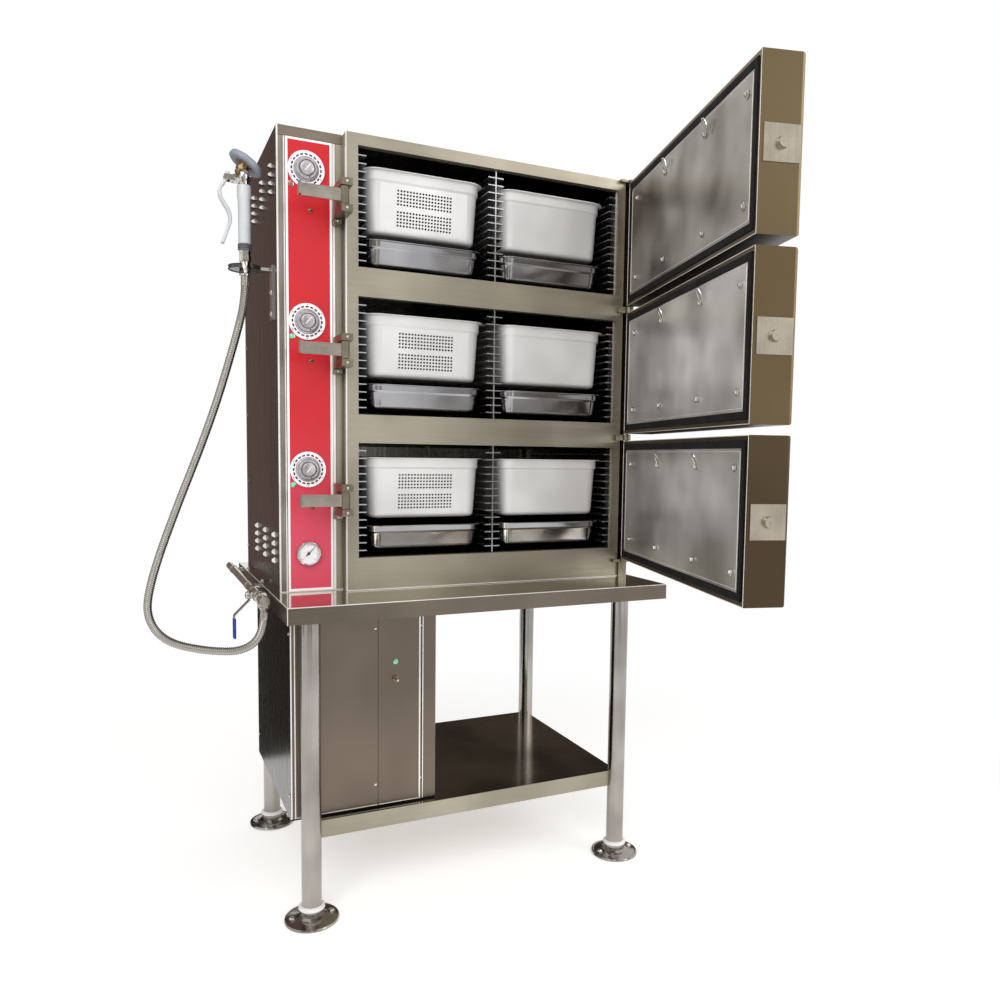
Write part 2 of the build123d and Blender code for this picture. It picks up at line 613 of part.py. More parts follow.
def latch_handle(level):
    """Flat pull handle on a hub, its free end curled forward for a finger."""
    z = opening_mid(level) + BRACKET_LIFT
    half = BRACKET_GAP_H / 2 - HANDLE_GAP
    body = rod_z(HANDLE_PIN_X, HANDLE_PIN_Y, z - half, z + half, HANDLE_HUB_R)
    y0 = HANDLE_PIN_Y - HANDLE_T / 2 - 1.0
    x0 = BRACKET_X1 - BRACKET_W - HANDLE_L
    h = HANDLE_H / 2
    body += box(x0, HANDLE_PIN_X, y0, y0 + HANDLE_T, z - h, z + h)
    body += box(x0, x0 + HANDLE_T, y0 - HANDLE_CURL, y0 + HANDLE_T, z - h, z + h)
    return body - rod_z(HANDLE_PIN_X, HANDLE_PIN_Y, z - 30, z + 30, HANDLE_PIN_R + PIN_CLEARANCE)


def make_latches():
    save("latch_brackets", *[latch_bracket(level) for level in LEVELS])
    for level in LEVELS:
        save(f"latch_handle_{level}", latch_handle(level))


# ================================================================ controls
def dial_z(level):
    """Height of a timer dial."""
    return opening_mid(level) + DIAL_LIFT


def lamp_z(level):
    """Height of a pilot lamp."""
    return opening_mid(level) + LAMP_LIFT


OVERLAY_Y = FASCIA_Y - OVERLAY_T


def control_fascia():
    """Sheet fascia of the control column, its edges turned back."""
    body = box(CAB_X0 + SHEET, FRAME_X0, FASCIA_Y, FASCIA_Y + SHEET, TOP_Z, CAB_Z1 - SHEET)
    body += box(CAB_X0 + SHEET, CAB_X0 + 2 * SHEET, FASCIA_Y + SHEET, FASCIA_Y + 14, TOP_Z, CAB_Z1 - SHEET)
    return panel_holes(body)


def panel_holes(body):
    """Holes for the dials' shafts, the lamps and the gauge."""
    y0, y1 = OVERLAY_Y - 1, FASCIA_Y + SHEET + 1
    for level in LEVELS:
        body -= rod_y(DIAL_X, y0, y1, dial_z(level), SHAFT_R + 2.0)
        body -= rod_y(LAMP_X, y0, y1, lamp_z(level), LAMP_R - 2.0)
    return body - rod_y(DIAL_X, y0, y1, GAUGE_Z, GAUGE_R - 4.0)


def control_overlay():
    """Coloured overlay sheet on the fascia."""
    x0, x1 = OVERLAY_X0, OVERLAY_X0 + OVERLAY_W
    return panel_holes(box(x0, x1, OVERLAY_Y, FASCIA_Y, OVERLAY_Z0, OVERLAY_Z1))


def timer_knob(level):
    """Dial plate, skirt and cap turning on one shaft."""
    y = OVERLAY_Y - 1.0
    profile = make_face(Polyline(
        (0, 0), (DIAL_R, 0), (DIAL_R, DIAL_T), (SKIRT_R + 3, DIAL_T + 1), (SKIRT_R, DIAL_T + 1.5),
        (SKIRT_R - 4, SKIRT_H), (CAP_R, SKIRT_H), (CAP_R - 1, SKIRT_H + 2), (0, SKIRT_H + 2), close=True))
    body = Pos(DIAL_X, y, dial_z(level)) * Rot(90, 0, 0) * revolve(Plane.XZ * profile, Axis.Z)
    return body + rod_y(DIAL_X, y, FASCIA_Y + SHEET + 20, dial_z(level), SHAFT_R)


def timer_body(level):
    """Clockwork timer behind the fascia, bored for its shaft."""
    h = MODULE_SIZE / 2
    z, y0 = dial_z(level), FASCIA_Y + SHEET
    body = box(DIAL_X - h, DIAL_X + h, y0, y0 + MODULE_DEPTH, z - h, z + h)
    return body - rod_y(DIAL_X, y0 - 1, y0 + 22, z, SHAFT_R + PIN_CLEARANCE)


def switch_body():
    """Body of the base toggle switch, with the ball's socket."""
    x, y, z = BASE_CONTROL_X, BASE_Y0, BASE_SWITCH_Z
    body = box(x - 9, x + 9, y, y + 28, z - 13, z + 13)
    body += rod_y(x, y - SHEET, y + 2, z, 3.6)
    return body - Pos(x, y - SHEET - 1.0, z) * Sphere(3.25)


def lamp(x, y_face, z):
    """Pilot lamp: domed lens, bezel and a short body behind the panel."""
    profile = make_face(Polyline(
        (0, -SHEET - OVERLAY_T - 14), (LAMP_R - 2, -SHEET - OVERLAY_T - 14), (LAMP_R - 2, 0), (LAMP_R, 0), (LAMP_R, 2),
        (LAMP_R - 2, 2.5), (LAMP_R - 4, LAMP_H - 1), (0, LAMP_H), close=True))
    return Pos(x, y_face, z) * Rot(90, 0, 0) * revolve(Plane.XZ * profile, Axis.Z)


def gauge_case():
    """Round gauge case with a bezel, a recessed dial face and its stem."""
    y = OVERLAY_Y
    body = rod_y(DIAL_X, y - GAUGE_H, y, GAUGE_Z, GAUGE_R)
    body += rod_y(DIAL_X, y, y + GAUGE_BODY_H, GAUGE_Z, GAUGE_R - 4.0)
    body += rod_y(DIAL_X, y + GAUGE_BODY_H, y + GAUGE_BODY_H + 25, GAUGE_Z, 7.0)
    body -= rod_y(DIAL_X, y - GAUGE_H - 1, y - GAUGE_H + 5.5, GAUGE_Z, GAUGE_R - 2.5)
    return body - rod_y(DIAL_X, y - GAUGE_H, y, GAUGE_Z, 1.0 + PIN_CLEARANCE)


def gauge_needle():
    """Tapered pointer on its spindle, pointing up and to the right."""
    y = OVERLAY_Y - GAUGE_H + 5.5
    blade = make_face(Polyline((-1.6, -8), (1.6, -8), (1.2, 0), (0.4, 19), (-0.4, 19), (-1.2, 0), close=True))
    body = extrude(blade, 0.8) + Pos(0, 0, -4.0) * extrude(Circle(1.0), 5.5) + extrude(Circle(2.6), 1.5)
    return Pos(DIAL_X, y - 1.0, GAUGE_Z) * Rot(90, 0, 0) * Rot(0, 0, -45) * body


def gauge_lens():
    """Flat window held in the bezel."""
    y = OVERLAY_Y - GAUGE_H
    return rod_y(DIAL_X, y + 0.5, y + 2.0, GAUGE_Z, GAUGE_R - 2.5)


def make_controls():
    save("control_fascia", control_fascia())
    save("control_overlay", control_overlay())
    for level in LEVELS:
        save(f"timer_knob_{level}", timer_knob(level))
    save("control_modules", *[timer_body(level) for level in LEVELS], switch_body())
    lamps = [lamp(LAMP_X, OVERLAY_Y, lamp_z(level)) for level in LEVELS]
    save("indicator_lamps", *lamps, lamp(BASE_CONTROL_X, BASE_Y0 - SHEET, BASE_LAMP_Z))
    save("gauge_case", gauge_case())
    save("gauge_needle", gauge_needle())
    save("gauge_lens", gauge_lens())


# ================================================================ spray set
def hose_hook():
    """Open ring hook on an arm from the side panel."""
    ring = rod_z(GUN_X, GUN_Y, HOOK_Z - HOOK_T / 2, HOOK_Z + HOOK_T / 2, HOOK_R)
    ring -= rod_z(GUN_X, GUN_Y, HOOK_Z - HOOK_T, HOOK_Z + HOOK_T, NUT_R + 0.3)
    ring -= box(GUN_X - HOSE_R - 1, GUN_X + HOSE_R + 1, GUN_Y - HOOK_R - 1, GUN_Y, HOOK_Z - HOOK_T, HOOK_Z + HOOK_T)
    arm = box(GUN_X + HOOK_R - 6, CAB_X0, GUN_Y - 14, GUN_Y + 14, HOOK_Z - HOOK_T / 2, HOOK_Z + HOOK_T / 2)
    plate = box(CAB_X0 - 4, CAB_X0, GUN_Y - 16, GUN_Y + 16, HOOK_Z - 115, HOOK_Z + 12)
    return ring + arm + plate


def head_direction():
    """Unit vector along the tilted spray head."""
    a = math.radians(HEAD_TILT)
    return Vector(math.sin(a), 0, math.cos(a))


LEVER_X = GUN_X - 37.0
LEVER_Z = GRIP_Z1 + 12.0
LEVER_BENDS = [(1.5, 13), (0, 0), (-8, -12), (-16, -26), (-17, -38), (-10, -54), (0, -70), (5, -86), (4.5, -100),
               (-2, -120), (-9, -138), (-12, -148)]   # middle of the lever, X and Z from its pin


def neck_foot():
    """Where the neck leaves the valve body."""
    return Vector(GUN_X + HEAD_SHIFT, GUN_Y, GRIP_Z1 + 24)


def spray_body():
    """Swivel nut, stem, valve body and tilted neck of the spray valve."""
    body = rod_z(GUN_X, GUN_Y, HOOK_Z - 18, GRIP_Z0, NUT_R)
    body += rod_z(GUN_X, GUN_Y, GRIP_Z0 - 1, GRIP_Z1, 8.0)
    body += rod_z(GUN_X, GUN_Y, GRIP_Z1, GRIP_Z1 + 32, 13.0)
    body += rod((GUN_X - 26, GUN_Y, GRIP_Z1 + 12), (GUN_X, GUN_Y, GRIP_Z1 + 12), 10.0)
    ear = LEVER_W / 2 + 0.5
    for y in (GUN_Y - ear - EAR_T, GUN_Y + ear):
        body += box(LEVER_X - 6, GUN_X - 20, y, y + EAR_T, LEVER_Z - 5, LEVER_Z + 5)
    body += rod_y(LEVER_X, GUN_Y - ear, GUN_Y + ear, LEVER_Z, LEVER_PIN_R)
    start = neck_foot()
    body += rod(tuple(start - head_direction() * 8), tuple(start + head_direction() * NECK_L), 12.0)
    return body - rod_z(GUN_X, GUN_Y, HOOK_Z - 19, GRIP_Z0, HOSE_BORE_R)


def spray_grip():
    """Sleeve around the stem, and the bumper around the spray face."""
    sleeve = rod_z(GUN_X, GUN_Y, GRIP_Z0, GRIP_Z1, GRIP_R) - rod_z(GUN_X, GUN_Y, GRIP_Z0 - 1, GRIP_Z1 + 1, 8.0)
    start = neck_foot() + head_direction() * NECK_L
    bumper = rod(tuple(start), tuple(start + head_direction() * BUMPER_T), BUMPER_R)
    bumper -= rod(tuple(start + head_direction() * 8), tuple(start + head_direction() * 30), BUMPER_R - 12)
    return [sleeve, bumper]


def spray_lever():
    """Long squeeze lever on a pin between the valve body's ears."""
    t, x, z = LEVER_T / 2, LEVER_X, LEVER_Z
    middle = [Vector(x + dx, z + dz) for dx, dz in LEVER_BENDS]
    left, right = [], []
    for i, p in enumerate(middle):
        ahead = (middle[min(i + 1, len(middle) - 1)] - middle[max(i - 1, 0)]).normalized()
        side = Vector(-ahead.Y, ahead.X) * t
        left.append(p + side)
        right.append(p - side)
    rim = [Spline(left), Line(left[-1], right[-1]), Spline(right[::-1]), Line(right[0], left[0])]
    outline = Wire(rim)
    blade = Pos(0, GUN_Y - LEVER_W / 2, 0) * extrude(Plane.XZ * make_face(outline), -LEVER_W)
    return blade - rod_y(x, GUN_Y - LEVER_W, GUN_Y + LEVER_W, z, LEVER_PIN_R + PIN_CLEARANCE)


HOSE_POINTS = [
    (GUN_X, GUN_Y, HOOK_Z - 18.0), (GUN_X, GUN_Y, 1488.0), (-581.5, -201.0, 1387.0), (-636.0, -208.0, 1205.0),
    (-730.0, -221.0, 965.0), (-775.0, -238.0, 832.0), (-784.0, -250.0, 758.0), (-745.0, -263.0, 702.0),
    (-655.0, -290.0, 680.0), (-581.0, -316.0, 680.0), (PIPE_X, VALVE_Y0 - ELBOW_OUT, 722.0),
    (PIPE_X, VALVE_Y0 - ELBOW_OUT, PIPE_Z - 17.0)]


def hose_route():
    """Straight runs joined by tangent arcs, each arc from its two runs."""
    points = [Vector(*p) for p in HOSE_POINTS]
    radii = []
    for a, b, c in zip(points, points[1:], points[2:]):
        turn = (b - a).get_angle(c - b)
        run = min((b - a).length, (c - b).length)
        radii.append(0.45 * run / math.tan(math.radians(turn) / 2))
    print("hose radii", [round(r) for r in radii])
    return FilletPolyline(*points, radius=radii)


def section_at(route, s, r):
    """Circle square to the route at a share s of its length."""
    here, along = route @ s, route % s
    return Plane(origin=here, x_dir=Vector(0, 1, 0).cross(along), z_dir=along) * Circle(r)


def spray_hose():
    """Corrugated hose with plain cuffs and a bore."""
    route = hose_route()
    length = route.length
    print("hose length", round(length))
    cuff = HOSE_END / length
    step = (1 - 2 * cuff) / HOSE_RIBS
    sections = [section_at(route, 0, HOSE_R), section_at(route, cuff, HOSE_R)]
    for k in range(HOSE_RIBS):
        sections.append(section_at(route, cuff + (k + 0.5) * step, HOSE_ROOT_R))
        if k < HOSE_RIBS - 1:
            sections.append(section_at(route, cuff + (k + 1) * step, HOSE_R))
    sections += [section_at(route, 1 - cuff, HOSE_R), section_at(route, 1, HOSE_R)]
    bore = [section_at(route, k / 48, HOSE_BORE_R) for k in range(49)]
    return loft(sections, ruled=True) - loft(bore, ruled=True)


def supply_pipe():
    """Water pipe along the stand's left edge, on two clips."""
    body = rod_y(PIPE_X, VALVE_Y1, PIPE_Y1, PIPE_Z, PIPE_R)
    for y in (VALVE_Y1 + CLIP_IN, PIPE_Y1 - CLIP_IN):
        body += box(PIPE_X, TOP_X0, y - CLIP_W / 2, y + CLIP_W / 2, PIPE_Z - 6, PIPE_Z + 3)
    return body - rod_y(PIPE_X, VALVE_Y1 - 1, PIPE_Y1 + 1, PIPE_Z, PIPE_BORE_R)


VALVE_MID_Y = (VALVE_Y0 + VALVE_Y1) / 2


def valve_body():
    """Ball valve in line with the pipe, its stem, and the elbow down to the hose."""
    end = HOSE_POINTS[-1]
    body = rod_y(PIPE_X, VALVE_Y0, VALVE_Y1, PIPE_Z, VALVE_R - 3)
    body += rod_y(PIPE_X, VALVE_MID_Y - 24, VALVE_MID_Y + 24, PIPE_Z, VALVE_R)
    body += rod_y(PIPE_X, end[1] - VALVE_R + 3, VALVE_Y0, PIPE_Z, VALVE_R - 3)
    body += rod_z(end[0], end[1], end[2], PIPE_Z, VALVE_R - 3)
    return body + rod((PIPE_X, VALVE_MID_Y, PIPE_Z), (PIPE_X - VALVE_STEM_L, VALVE_MID_Y, PIPE_Z), VALVE_STEM_R)


def valve_lever():
    """Flat lever on the valve's stem, stepped outward and hanging down."""
    x, z, t = PIPE_X - VALVE_R - 3.0, PIPE_Z, VALVE_LEVER_T
    outline = Polyline((x, z + 9), (x, z - 12), (x - 34, z - 46), (x - 34, z - 100), (x - 34 - t, z - 100),
                       (x - 34 - t, z - 45), (x - t, z - 11), (x - t, z + 9), close=True)
    body = Pos(0, VALVE_MID_Y - 8, 0) * extrude(Plane.XZ * make_face(outline), -16)
    body += rod((x, VALVE_MID_Y, z), (x - 8, VALVE_MID_Y, z), VALVE_STEM_R + 4)
    return body - rod((x + 1, VALVE_MID_Y, z), (x - 9, VALVE_MID_Y, z), VALVE_STEM_R + PIN_CLEARANCE)


def make_spray_set():
    save("hose_hook", hose_hook())
    save("spray_body", spray_body())
    save("spray_grip", *spray_grip())
    save("spray_lever", spray_lever())
    save("spray_hose", spray_hose())
    save("supply_pipe", supply_pipe())
    save("valve_body", valve_body())
    save("valve_lever", valve_lever())


make_stand()
make_base()
make_cabinet()
make_racks_and_pans()
make_doors()
make_latches()
make_controls()
make_spray_set()
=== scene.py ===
"""Looks of an upright three-compartment cabinet steamer on an open stand.

Lengths inside the classes are millimetres in the shared frame: X to the right,
Y to the back, Z up, with the origin on the floor between the four flanges.
"""
import logging
import math
from dataclasses import dataclass
from enum import Enum
from typing import Callable, Iterable, Sequence

import bpy
from mathutils import Matrix, Vector


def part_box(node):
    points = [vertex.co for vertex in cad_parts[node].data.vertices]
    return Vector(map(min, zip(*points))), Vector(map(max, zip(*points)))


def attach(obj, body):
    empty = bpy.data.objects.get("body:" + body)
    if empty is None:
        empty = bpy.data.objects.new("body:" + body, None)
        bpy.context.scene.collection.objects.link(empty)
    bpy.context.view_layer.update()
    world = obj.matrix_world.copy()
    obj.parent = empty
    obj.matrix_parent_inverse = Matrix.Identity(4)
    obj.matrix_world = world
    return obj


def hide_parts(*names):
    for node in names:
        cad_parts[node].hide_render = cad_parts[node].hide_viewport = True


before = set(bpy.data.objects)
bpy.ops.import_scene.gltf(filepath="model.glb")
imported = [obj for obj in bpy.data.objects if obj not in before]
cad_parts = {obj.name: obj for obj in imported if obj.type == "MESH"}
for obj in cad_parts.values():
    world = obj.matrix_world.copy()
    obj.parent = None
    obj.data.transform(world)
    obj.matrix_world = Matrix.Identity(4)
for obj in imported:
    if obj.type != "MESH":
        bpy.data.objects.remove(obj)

LOG = logging.getLogger("steamer")
MM = 0.001
Point = Sequence[float]
Ring = list[Vector]
LEVELS = ("bottom", "middle", "top")
ROOT = "cabinet"            # body of everything that stands still
FRAME_Y = -299.0            # front of the face frame
FASCIA_Y = -265.0           # front of the control column's sheet
OVERLAY_Y = -266.0          # front of its printed overlay
LEFT_X = -494.0             # cabinet's left side
FOOT_Z = 801.0              # top of the stand, on which the cabinet stands
TOP_Z = 1875.0
PITCH_Z = 345.0             # from one compartment to the next
OPENING_Z = 277.0           # height of one opening
DIAL_X = -427.5             # axis of the dials and the gauge
UP, FRONT, BACK, LEFT, RIGHT = (0, 0, 1), (0, -1, 0), (0, 1, 0), (-1, 0, 0), (1, 0, 0)


# ------------------------------------------------------------------ colour and nodes
def linear(colour: str) -> tuple[float, float, float, float]:
    """Turn an sRGB hex colour into linear light.

    Args:
        colour: Six hex digits after a hash.

    Returns:
        Linear red, green and blue with an alpha of one.
    """
    parts = [int(colour[i:i + 2], 16) / 255 for i in (1, 3, 5)]
    flat = [p / 12.92 if p <= 0.04045 else ((p + 0.055) / 1.055) ** 2.4 for p in parts]
    return flat[0], flat[1], flat[2], 1.0


def add_node(tree: bpy.types.NodeTree, kind: str, inputs: dict | None = None, **settings) -> bpy.types.Node:
    """Add one shader node with its settings, values and links.

    Args:
        tree: Node tree that gets the node.
        kind: Blender's node type.
        inputs: Socket name or number to a value, or to the socket that feeds it.
        **settings: Attributes set on the node itself.

    Returns:
        The new node.
    """
    made = tree.nodes.new(kind)
    for name, value in settings.items():
        setattr(made, name, value)
    for key, value in (inputs or {}).items():
        if isinstance(value, bpy.types.NodeSocket):
            tree.links.new(value, made.inputs[key])
        else:
            made.inputs[key].default_value = value
    return made


class Grain(Enum):
    """Direction in which a sheet was ground or drawn, as stretch along X, Y and Z."""
    ALONG_X = (0.02, 1.0, 1.0)
    ALONG_Y = (1.0, 0.02, 1.0)
    ALONG_Z = (1.0, 1.0, 0.02)
    NONE = (1.0, 1.0, 1.0)


@dataclass(frozen=True)
class Finish:
    """One finish: a real material and how its surface was made."""
    name: str
    colour: str
    roughness: float = 0.4

    def shade(self, tree: bpy.types.NodeTree, shader: bpy.types.Node) -> None:
        """Set the shader's sockets for this finish.

        Args:
            tree: Node tree of the material.
            shader: Its main shader.
        """
        shader.inputs["Base Color"].default_value = linear(self.colour)
        shader.inputs["Roughness"].default_value = self.roughness

    def material(self) -> bpy.types.Material:
        """Return the Blender material, made once and then shared."""
        known = bpy.data.materials.get(self.name)
        if known is not None:
            return known
        made = bpy.data.materials.new(self.name)
        made.use_nodes = True
        tree = made.node_tree
        self.shade(tree, tree.nodes["Principled BSDF"])
        return made

    def position(self, tree: bpy.types.NodeTree, stretch: Point = (1.0, 1.0, 1.0)) -> bpy.types.NodeSocket:
        """Return the piece's own coordinates in metres, stretched along its grain."""
        place = add_node(tree, "ShaderNodeTexCoord").outputs["Object"]
        return add_node(tree, "ShaderNodeMapping", {"Vector": place, "Scale": stretch}).outputs["Vector"]

    def cloud(self, tree: bpy.types.NodeTree, size_mm: float, low: float, high: float, detail: float = 3.0,
              stretch: Point = (1.0, 1.0, 1.0)) -> bpy.types.NodeSocket:
        """Return a soft noise of a real size, spread between two values.

        Args:
            tree: Node tree of the material.
            size_mm: Size of one patch or streak across, in millimetres.
            low: Value in the darkest patches.
            high: Value in the lightest patches.
            detail: Octaves of finer noise.
            stretch: Scale along X, Y and Z.

        Returns:
            The noise's value socket.
        """
        noise = add_node(tree, "ShaderNodeTexNoise", {
            "Vector": self.position(tree, stretch), "Scale": 1000.0 / size_mm, "Detail": detail})
        return add_node(tree, "ShaderNodeMapRange", {
            "Value": noise.outputs["Fac"], "From Min": 0.3, "From Max": 0.7,
            "To Min": low, "To Max": high}, interpolation_type="SMOOTHSTEP").outputs["Result"]

    def blend(self, tree: bpy.types.NodeTree, share: bpy.types.NodeSocket, first: object,
              second: object) -> bpy.types.NodeSocket:
        """Return one colour passing into another, each a socket or a linear colour."""
        mix = add_node(tree, "ShaderNodeMix", {"Factor": share, 6: first, 7: second}, data_type="RGBA")
        return mix.outputs[2]

    def bump(self, tree: bpy.types.NodeTree, shader: bpy.types.Node, height: bpy.types.NodeSocket,
             depth_mm: float) -> None:
        """Raise the surface by a height between nought and one, times a depth in millimetres."""
        raised = add_node(tree, "ShaderNodeBump", {"Height": height, "Distance": depth_mm * MM, "Strength": 1.0})
        tree.links.new(raised.outputs["Normal"], shader.inputs["Normal"])


@dataclass(frozen=True)
class SheetSteel(Finish):
    """Austenitic stainless sheet, belt ground: fine parallel scratches that stretch the gloss along them."""
    grain: Grain = Grain.ALONG_X
    # second colour of the large random patches: uneven tone of the sheet, and a painted reflection of the room
    shadow: str = "#6b6459"
    patch_mm: float = 320.0
    scratch_mm: float = 3.0      # real scratches are 0.1 mm apart; drawn coarser so that they show
    scratch: float = 0.05
    relief_mm: float = 0.03
    painted_underside_shade: str | None = None     # painted shade on faces that look down, standing for the dark floor that they mirror
    metallic: float = 1.0        # under one where a blasted or hazed skin scatters light
    gloss: float = 0.06

    def shade(self, tree: bpy.types.NodeTree, shader: bpy.types.Node) -> None:
        """Mix patches, scratches and an optional painted shade on faces that look down into the metal's colour and
        gloss.

        Args:
            tree: Node tree of the material.
            shader: Its main shader.
        """
        patch = self.cloud(tree, self.patch_mm, 0.0, 1.0, 2.0)
        streak = self.cloud(tree, self.scratch_mm, 0.0, 1.0, 4.0, self.grain.value)
        colour = self.blend(tree, patch, linear(self.colour), linear(self.shadow))
        if self.painted_underside_shade is not None:
            # painted shade: faces that look down turn towards a darker colour
            facing = add_node(tree, "ShaderNodeNewGeometry").outputs["True Normal"]
            height = add_node(tree, "ShaderNodeSeparateXYZ", {"Vector": facing}).outputs["Z"]
            share = add_node(tree, "ShaderNodeMapRange", {"Value": height, "From Min": -0.5, "From Max": -0.9})
            colour = self.blend(tree, share.outputs["Result"], colour, linear(self.painted_underside_shade))
        lines = add_node(tree, "ShaderNodeMapRange", {
            "Value": streak, "To Min": 1.0 - self.scratch, "To Max": 1.0 + self.scratch}).outputs["Result"]
        scaled = add_node(tree, "ShaderNodeVectorMath", {0: colour, "Scale": lines}, operation="SCALE")
        tree.links.new(scaled.outputs["Vector"], shader.inputs["Base Color"])
        shader.inputs["Metallic"].default_value = self.metallic
        gloss = self.cloud(tree, self.scratch_mm, self.roughness - self.gloss, self.roughness + self.gloss, 3.0,
                           self.grain.value)
        tree.links.new(gloss, shader.inputs["Roughness"])
        self.bump(tree, shader, streak, self.relief_mm)


@dataclass(frozen=True)
class PressedSteel(Finish):
    """Deep-drawn stainless, bead blasted inside and out: satin, pale and nearly even, scuffed by its runners."""
    scuff: str = "#b9b8b6"
    metallic: float = 1.0

    def shade(self, tree: bpy.types.NodeTree, shader: bpy.types.Node) -> None:
        """Mix faint scuffs and fine drawing lines into the metal.

        Args:
            tree: Node tree of the material.
            shader: Its main shader.
        """
        wear = self.cloud(tree, 120.0, 0.0, 0.7, 1.0)
        lines = self.cloud(tree, 2.5, 0.0, 1.0, 3.0, Grain.ALONG_Z.value)
        colour = self.blend(tree, wear, linear(self.colour), linear(self.scuff))
        tree.links.new(colour, shader.inputs["Base Color"])
        shader.inputs["Metallic"].default_value = self.metallic
        gloss = self.cloud(tree, 90.0, self.roughness - 0.03, self.roughness + 0.05, 1.0)
        tree.links.new(gloss, shader.inputs["Roughness"])
        self.bump(tree, shader, lines, 0.02)


@dataclass(frozen=True)
class BrightMetal(Finish):
    """Plated or polished metal: mirror-like, with handling marks that only the gloss shows."""
    mark_mm: float = 12.0
    mark: float = 0.12

    def shade(self, tree: bpy.types.NodeTree, shader: bpy.types.Node) -> None:
        """Vary the gloss in small marks over an even colour.

        Args:
            tree: Node tree of the material.
            shader: Its main shader.
        """
        shader.inputs["Base Color"].default_value = linear(self.colour)
        shader.inputs["Metallic"].default_value = 1.0
        marks = self.cloud(tree, self.mark_mm, self.roughness, self.roughness + self.mark, 5.0)
        tree.links.new(marks, shader.inputs["Roughness"])
        self.bump(tree, shader, self.cloud(tree, self.mark_mm / 3, 0.0, 1.0), 0.01)


@dataclass(frozen=True)
class Moulded(Finish):
    """Moulded or dipped polymer: a fine skin texture and slight changes of shade."""
    grain_mm: float = 1.6
    relief_mm: float = 0.04
    coat: float = 0.0
    lighter: str | None = None
    specular: float = 0.5
    fade: tuple[float, float, str] | None = None   # Z where another shade starts and is full, and its colour

    def shade(self, tree: bpy.types.NodeTree, shader: bpy.types.Node) -> None:
        """Mix two near shades and raise the skin texture.

        Args:
            tree: Node tree of the material.
            shader: Its main shader.
        """
        other = linear(self.lighter or self.colour)
        colour = self.blend(tree, self.cloud(tree, 60.0, 0.0, 1.0), linear(self.colour), other)
        if self.fade is not None:
            start, full, tint = self.fade
            height = add_node(tree, "ShaderNodeSeparateXYZ", {"Vector": self.position(tree)}).outputs["Z"]
            share = add_node(tree, "ShaderNodeMapRange", {
                "Value": height, "From Min": start * MM, "From Max": full * MM}, interpolation_type="SMOOTHSTEP")
            colour = self.blend(tree, share.outputs["Result"], colour, linear(tint))
        tree.links.new(colour, shader.inputs["Base Color"])
        gloss = self.cloud(tree, self.grain_mm * 6, self.roughness - 0.04, self.roughness + 0.06)
        tree.links.new(gloss, shader.inputs["Roughness"])
        shader.inputs["Coat Weight"].default_value = self.coat
        shader.inputs["Specular IOR Level"].default_value = self.specular
        self.bump(tree, shader, self.cloud(tree, self.grain_mm, 0.0, 1.0), self.relief_mm)


@dataclass(frozen=True)
class ClearSheet(Finish):
    """Clear acrylic window: nearly invisible face on, with a bright skin."""

    def shade(self, tree: bpy.types.NodeTree, shader: bpy.types.Node) -> None:
        """Let light through and keep a sharp gloss.

        Args:
            tree: Node tree of the material.
            shader: Its main shader.
        """
        shader.inputs["Base Color"].default_value = linear(self.colour)
        shader.inputs["Roughness"].default_value = self.roughness
        shader.inputs["IOR"].default_value = 1.49
        shader.inputs["Transmission Weight"].default_value = 1.0
        shader.inputs["Alpha"].default_value = 0.25


@dataclass(frozen=True)
class LitLens(Finish):
    """Moulded lens of a pilot lamp, glowing from behind when it is on."""
    glow: float = 0.0

    def shade(self, tree: bpy.types.NodeTree, shader: bpy.types.Node) -> None:
        """Colour the lens, brighter towards patches of its prismatic inside.

        Args:
            tree: Node tree of the material.
            shader: Its main shader.
        """
        spots = self.cloud(tree, 2.0, 0.7, 1.2)
        scaled = add_node(tree, "ShaderNodeVectorMath", {0: linear(self.colour)[:3], "Scale": spots},
                          operation="SCALE")
        tree.links.new(scaled.outputs["Vector"], shader.inputs["Base Color"])
        shader.inputs["Roughness"].default_value = self.roughness
        shader.inputs["Coat Weight"].default_value = 0.6
        shader.inputs["Emission Color"].default_value = linear(self.colour)
        shader.inputs["Emission Strength"].default_value = self.glow


# ------------------------------------------------------------------ finishes of this object
# Belt-ground sheet: warm grey fronts whose gloss stretches along the grain.
FRAME_SHEET = SheetSteel("Stainless_sheet_belt_ground_front", "#b0a998", 0.36, Grain.ALONG_X, "#958e7e", 260.0,
                         scratch=0.04, relief_mm=0.02, metallic=0.8)
FOLD_SHEET = SheetSteel("Stainless_sheet_folded_edge", "#8a7f71", 0.36, Grain.ALONG_X, "#776d61", 160.0,
                        scratch=0.03, relief_mm=0.01)
COLUMN_SHEET = SheetSteel("Stainless_sheet_belt_ground_upright", "#a39d98", 0.32, Grain.ALONG_Z, "#80786f", 180.0)
CASING_SHEET = SheetSteel("Stainless_sheet_casing", "#8d877c", 0.3, Grain.ALONG_X, "#6f6960", 420.0)
COVER_SHEET = SheetSteel("Stainless_sheet_base_cover", "#776d60", 0.36, Grain.ALONG_Z, "#6c6257", 300.0,
                         scratch=0.02, relief_mm=0.01)
HEM_SHEET = SheetSteel("Stainless_sheet_top_hem", "#7b7165", 0.3, Grain.ALONG_X, "#6d6459", 260.0,
                       scratch=0.03, relief_mm=0.01)
# Side sheets painted nearly black: painted shade that stands for the dark room they mirror, with the grain just
# visible.
SIDE_PAINTED_SHADE = SheetSteel("Stainless_side_painted_shade", "#42362f", 0.22, Grain.ALONG_Z, "#241d1a", 420.0)
BASE_SIDE_PAINTED_SHADE = SheetSteel("Stainless_base_side_painted_shade", "#292420", 0.24, Grain.ALONG_Z, "#171412", 380.0)
